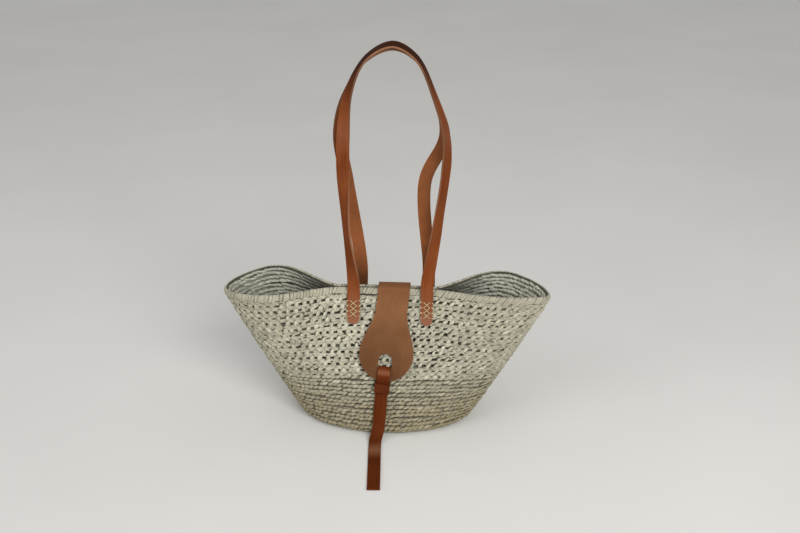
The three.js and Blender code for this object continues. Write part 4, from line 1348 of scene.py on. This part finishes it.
THONG_ROWS = 190
KNOT_LAYER = FLAP_THICKNESS / 2 + CLEARANCE + THONG_THICKNESS / 2
LAYER_GAP = (THONG_THICKNESS + CLEARANCE) / 2 + CLEARANCE
SLOT_SHARE = (THONG_WIDTH + CLEARANCE) / THONG_HEAD_WIDTH
THONG_COLUMNS = np.array([-1, -SLOT_SHARE, -0.55, -0.25, 0, 0.25, 0.55, SLOT_SHARE, 1])
SLOT_TOP, SLOT_FOOT = -0.2 * MM, 5.2 * MM
THONG_BLEND_MARGIN = 1.5 * MM


def thong_rows():
    """The thong's rows from its slotted head, and which of them the slot opens.

    It goes up behind the flap's margin, over it, through its own slot and down to the floor. The points of
    its knot are how far each lies below the flap's end and before it."""
    origin, across, down, out = flap_end_frame(FLAP_LENGTH)
    margin = HOLE_MARGIN
    head = [(THONG_HEAD_LENGTH, LAYER_GAP), (9 * MM, LAYER_GAP), (5.5 * MM, LAYER_GAP - 0.3 * MM),
            (2.5 * MM, -0.6 * MM), (-1 * MM, -KNOT_LAYER), (-margin / 2, -KNOT_LAYER)]
    loop = [(-margin - KNOT_LAYER * math.cos(turn), KNOT_LAYER * math.sin(turn))
            for turn in (-1.3, -0.6, 0, 0.6)]
    neck = [(-margin + 0.6 * MM, KNOT_LAYER + 0.5 * MM), (-margin + 4 * MM, KNOT_LAYER + 1.5 * MM),
            (-margin / 2 + MM, KNOT_LAYER + 1.6 * MM), (-1.5 * MM, KNOT_LAYER + 1.0 * MM),
            (1.7 * MM, 2.6 * MM), (3.5 * MM, 0.6 * MM), (5 * MM, -MM), (8 * MM, -LAYER_GAP),
            (THONG_BEND, -LAYER_GAP)]
    knot = [origin + down * below + out * before for below, before in (*head, *loop, *neck)]
    bend = knot[-1]
    floor = THONG_THICKNESS / 2
    heel_front = wall_point(np.array(HEEL_ARC), FRONT_MIDDLE, WALL / 2 + SEWN_LIFT + THONG_THICKNESS)[1]
    land_x, land_y = bend[0] - THONG_DRIFT, heel_front - THONG_LANDING
    tail = [
        [lerp(bend[0], land_x, 0.5), heel_front - THONG_THICKNESS, WALL / 2 + HEEL_RADIUS],
        [land_x, heel_front - THONG_LANDING / 2, floor + THONG_LANDING_RISE],
        [land_x, land_y, floor],
        [land_x + THONG_RETURN / 2, land_y - THONG_FLOOR_RUN / 2, floor],
        [land_x + THONG_RETURN, land_y - THONG_FLOOR_RUN, floor],
    ]
    route = spline([*knot, *tail], THONG_ROWS)
    route[:, 2] = np.maximum(route[:, 2], floor)
    along = tangents(route)
    depth = (route - origin) @ down
    on_tail = smoothstep(depth, THONG_BEND, 2 * THONG_BEND)[:, None]
    sideways = lerp(across, np.array([1.0, 0, 0]), on_tail)
    side = unit(sideways - along * (along * sideways).sum(1)[:, None])
    behind = np.arange(len(route)) < np.argmin(depth)
    wide = smoothstep(depth, -2 * THONG_CROSSING, 0) * behind
    half = lerp(THONG_WIDTH, THONG_HEAD_WIDTH, wide) / 2
    rows = route[:, None] - side[:, None] * (THONG_COLUMNS[None] * half[:, None])[..., None]
    return rows, behind & (depth > SLOT_TOP) & (depth < SLOT_FOOT)


class TOTE_OT_make_thong(ToteOperator, bpy.types.Operator):
    """Lay the thong through its own slot round the flap's margin and out along the floor"""

    bl_idname = "tote.make_thong"
    bl_label = "Make thong"

    def execute(self, context):
        leather = context.scene.tote_leather
        grain = leather_finish("thong_grain", leather.thong, leather.thong_worn, roughness=0.42, streak=0.5,
                               pore_depth=0.10 * MM, shades=THONG_SHADES, pale_nap_and_highlight=leather.thong_highlight,
                               highlight_places=THONG_HIGHLIGHTS, lengthwise=True)
        flesh = rough_finish("thong_flesh", brighter(leather.thong, THONG_FLESH_DARK),
                             brighter(leather.thong_worn, THONG_FLESH_WORN))
        edge = rough_finish("thong_edge", brighter(leather.thong, THONG_EDGE_DARK), leather.thong_worn)
        rows, in_slot = thong_rows()
        piece = lay_leather("closing_thong", rows, (grain, flesh, edge))
        self.open_slot(piece, in_slot)
        thicken(piece, THONG_THICKNESS, THONG_EDGE_ROUND)
        origin, _, down, _ = flap_end_frame(FLAP_LENGTH)
        start = origin + down * (THONG_HEAD_LENGTH + THONG_BLEND_MARGIN)
        end = origin + down * (2 * THONG_BEND - THONG_HEAD_LENGTH - THONG_BLEND_MARGIN)
        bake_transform(piece)
        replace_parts(piece, "thong_knot", "thong_tail")
        return {"FINISHED"}

    def open_slot(self, piece, in_slot):
        """Deletes the middle faces of the head's slotted rows."""
        columns = len(THONG_COLUMNS) - 1
        bpy.ops.object.mode_set(mode="EDIT")
        bpy.ops.mesh.select_mode(type="FACE")
        bpy.ops.mesh.select_all(action="DESELECT")
        bpy.ops.object.mode_set(mode="OBJECT")
        for face in piece.data.polygons:
            row, column = divmod(face.index, columns)
            face.select = bool(in_slot[row] and in_slot[row + 1] and 0 < column < columns - 1)
        bpy.ops.object.mode_set(mode="EDIT")
        bpy.ops.mesh.delete(type="FACE")
        bpy.ops.object.mode_set(mode="OBJECT")


# Lacing

THREAD_SIDES = 8
THREAD_RINGS = 34

# Shares of the thread's width: how far its middle runs above the leather and sinks at the edge
THREAD_ABOVE, THREAD_SINK = 0.42, 0.3
RING_LEAN = 0.2


def thread_stitch(side, left, right):
    """Middle line of one stitch from under its left edge over the leather to its right edge."""
    places = [wall_at(x, height, side, offset) for x, height, offset in (*left, *reversed(right))]
    return spline(places, THREAD_RINGS)


def lacing_stitches(side, low_height, holes, edges, thickness, width):
    """Crossed stitches over two columns of holes. An edge of None ends the thread at its hole."""
    over = WALL / 2 + SEWN_LIFT + thickness + THREAD_ABOVE * width
    inside = WALL / 2 + SEWN_LIFT + thickness / 2
    under = WALL / 2
    stitches = []

    def limb(hole, edge, height, lift):
        top = (hole, height, over + lift)
        if edge is None:
            return [(hole, height, over - width), top]
        way = np.sign(edge - hole)
        outside = edge + way * (LACE_WRAP + lift)
        rim = edge - way * LACE_RIM
        return [(outside, height, under), (outside, height, over - THREAD_SINK * width),
                (rim, height, over), (rim - way * width, height, inside),
                (hole + way * width, height, inside), top]

    for row in range(LACE_ROWS - 1):
        low = low_height + row * LACE_PITCH + LACE_STEP
        high = low_height + (row + 1) * LACE_PITCH - LACE_STEP
        for start, stop, lift in ((low, high, 0), (high, low, LACE_LIFT)):
            left = limb(holes[0], edges[0], start, lift)
            right = limb(holes[1], edges[1], stop, lift)
            stitches.append(thread_stitch(side, left, right))
    return np.array(stitches)


class TOTE_OT_lace_leather(ToteOperator, bpy.types.Operator):
    """Lace the sewn ends of the handles and the tail of the flap to the wall"""

    bl_idname = "tote.lace_leather"
    bl_label = "Lace leather"

    def execute(self, context):
        leather = context.scene.tote_leather
        self.material = thread_finish(leather)
        self.width = leather.thread_width
        half = STRAP_WIDTH / 2
        low = END_TIP_HEIGHT + LACE_TIP_MARGIN
        for word, handle in HANDLES.items():
            for end_word, end in ENDS.items():
                x = handle_end_x(handle, end)
                holes = x - LACE_HALF_WIDTH, x + LACE_HALF_WIDTH
                edges = x - half, x + half
                self.sew(f"{word}_handle_{end_word}", handle["side"], low, holes, edges, STRAP_THICKNESS)
        for end_word, end in ENDS.items():
            edge = FLAP_SHIFT + end * FLAP_TOP_WIDTH / 2
            outer = edge - end * (half - LACE_HALF_WIDTH)
            inner = outer - end * TAIL_LACE_WIDTH
            holes = (outer, inner) if end < 0 else (inner, outer)
            edges = (edge, None) if end < 0 else (None, edge)
            self.sew(f"flap_tail_{end_word}", 1, TAIL_CORNER_HEIGHT, holes, edges, FLAP_THICKNESS)
        return {"FINISHED"}

    def sew(self, name, side, low, holes, edges, thickness):
        """Makes the thread of one row of crosses."""
        lines = lacing_stitches(side, low, holes, edges, thickness, self.width)
        along = unit(np.gradient(lines, axis=1))
        across = unit(np.cross([0, -side, RING_LEAN], along))
        out = np.cross(along, across)
        turn = side_turns(THREAD_SIDES)
        radius = self.width / 2
        points = (lines[:, :, None] + across[:, :, None] * (radius * np.cos(turn))[None, None, :, None]
                  + out[:, :, None] * (radius * np.sin(turn))[None, None, :, None])
        step = np.linalg.norm(lines[:, 1:2] - lines[:, :1], axis=-1)
        run = np.arange(THREAD_RINGS)[None] * step
        shape = points.shape[:3]
        fibres = np.stack([np.broadcast_to(run[..., None], shape),
                           np.broadcast_to(turn * radius, shape)], axis=-1)
        strands = Strands()
        strands.add(points, fibres)
        piece = strands.finish(f"{name}_thread", self.material)
        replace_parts(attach(piece, "basket"), f"{name}_lacing")


# Stage

WHITE = 1, 1, 1, 1
FLOOR_SIZE = 14
KEY_PLACE, KEY_SIZE = (1.0, -2.0, 1.5), 1.6
FILL_PLACE, FILL_SIZE = (-1.8, -1.4, 1.2), 1.8
LAMP_AIM = 0, 0, 0.2
LAMP_SPREAD = math.radians(120)
LENS, SENSOR_WIDTH = 50, 36


class TOTE_OT_set_stage(ToteOperator, bpy.types.Operator):
    """Set the floor, the lights and the camera"""

    bl_idname = "tote.set_stage"
    bl_label = "Set stage"

    def execute(self, context):
        stage = context.scene.tote_stage
        self.lay_floor(stage)
        self.light_sky(stage)
        self.lamp("key_lamp", KEY_PLACE, KEY_SIZE, stage.key)
        self.lamp("fill_lamp", FILL_PLACE, FILL_SIZE, stage.fill)
        self.camera(stage)
        context.scene.view_settings.view_transform = "Standard"
        return {"FINISHED"}

    def lay_floor(self, stage):
        bpy.ops.object.select_all(action="DESELECT")
        bpy.ops.mesh.primitive_plane_add(size=FLOOR_SIZE)
        floor = bpy.context.object
        floor.name = "floor"
        finish = Finish("floor", Roughness=0.9, Specular_IOR_Level=0.2)
        shade = finish.ramp(finish.noise(finish.place(), scale=3.0), (0.3, 0.96), (0.7, 1.0))
        finish.feed("Base Color", finish.multiply(shade, opaque(stage.floor)))
        floor.data.materials.append(finish.material)

    def light_sky(self, stage):
        world = bpy.data.worlds.new("studio")
        bpy.context.scene.world = world
        world.use_nodes = True
        sky = world.node_tree.nodes["Background"].inputs
        sky["Color"].default_value = WHITE
        sky["Strength"].default_value = stage.sky

    def lamp(self, name, place, size, power):
        light = bpy.data.lights.new(name, "AREA")
        light.shape = "DISK"
        light.size = size
        light.spread = LAMP_SPREAD
        light.energy = power
        lamp = bpy.data.objects.new(name, light)
        lamp.location = place
        lamp.rotation_euler = (Vector(LAMP_AIM) - Vector(place)).to_track_quat("-Z", "Y").to_euler()
        bpy.context.scene.collection.objects.link(lamp)

    def camera(self, stage):
        camera = bpy.data.objects.new("camera", bpy.data.cameras.new("camera"))
        camera.data.lens = LENS
        camera.data.sensor_width = SENSOR_WIDTH
        level = math.cos(stage.elevation) * stage.distance
        back = Vector((math.sin(stage.yaw) * level, -math.cos(stage.yaw) * level,
                       math.sin(stage.elevation) * stage.distance))
        camera.location = Vector(stage.aim) + back
        camera.rotation_euler = (-back).to_track_quat("-Z", "Y").to_euler()
        bpy.context.scene.collection.objects.link(camera)
        bpy.context.scene.camera = camera


SETTINGS = {"tote_basket": BasketSettings, "tote_leather": LeatherSettings, "tote_stage": StageSettings}
OPERATORS = (TOTE_OT_weave_base, TOTE_OT_weave_wall, TOTE_OT_whip_rim, TOTE_OT_make_handles,
             TOTE_OT_make_flap, TOTE_OT_make_thong, TOTE_OT_lace_leather, TOTE_OT_set_stage)


class TOTE_PT_panel(bpy.types.Panel):
    """Lists the steps that dress the bag"""

    bl_idname = "TOTE_PT_panel"
    bl_label = "Straw tote"
    bl_space_type = "VIEW_3D"
    bl_region_type = "UI"
    bl_category = "Straw tote"

    def draw(self, context):
        for operator in OPERATORS:
            self.layout.operator(operator.bl_idname)
        for name, group in SETTINGS.items():
            settings = getattr(context.scene, name)
            for field in group.__annotations__:
                self.layout.prop(settings, field)


def register():
    for kind in (*SETTINGS.values(), *OPERATORS, TOTE_PT_panel):
        bpy.utils.register_class(kind)
    for name, group in SETTINGS.items():
        setattr(bpy.types.Scene, name, PointerProperty(type=group))


def unregister():
    for name in SETTINGS:
        delattr(bpy.types.Scene, name)
    for kind in (TOTE_PT_panel, *reversed(OPERATORS), *SETTINGS.values()):
        bpy.utils.unregister_class(kind)


def main():
    register()
    bpy.ops.tote.weave_base()
    bpy.ops.tote.weave_wall()
    bpy.ops.tote.whip_rim()
    bpy.ops.tote.make_handles()
    bpy.ops.tote.make_flap()
    bpy.ops.tote.make_thong()
    bpy.ops.tote.lace_leather()
    bpy.ops.tote.set_stage()


if __name__ == "__main__":
    main()
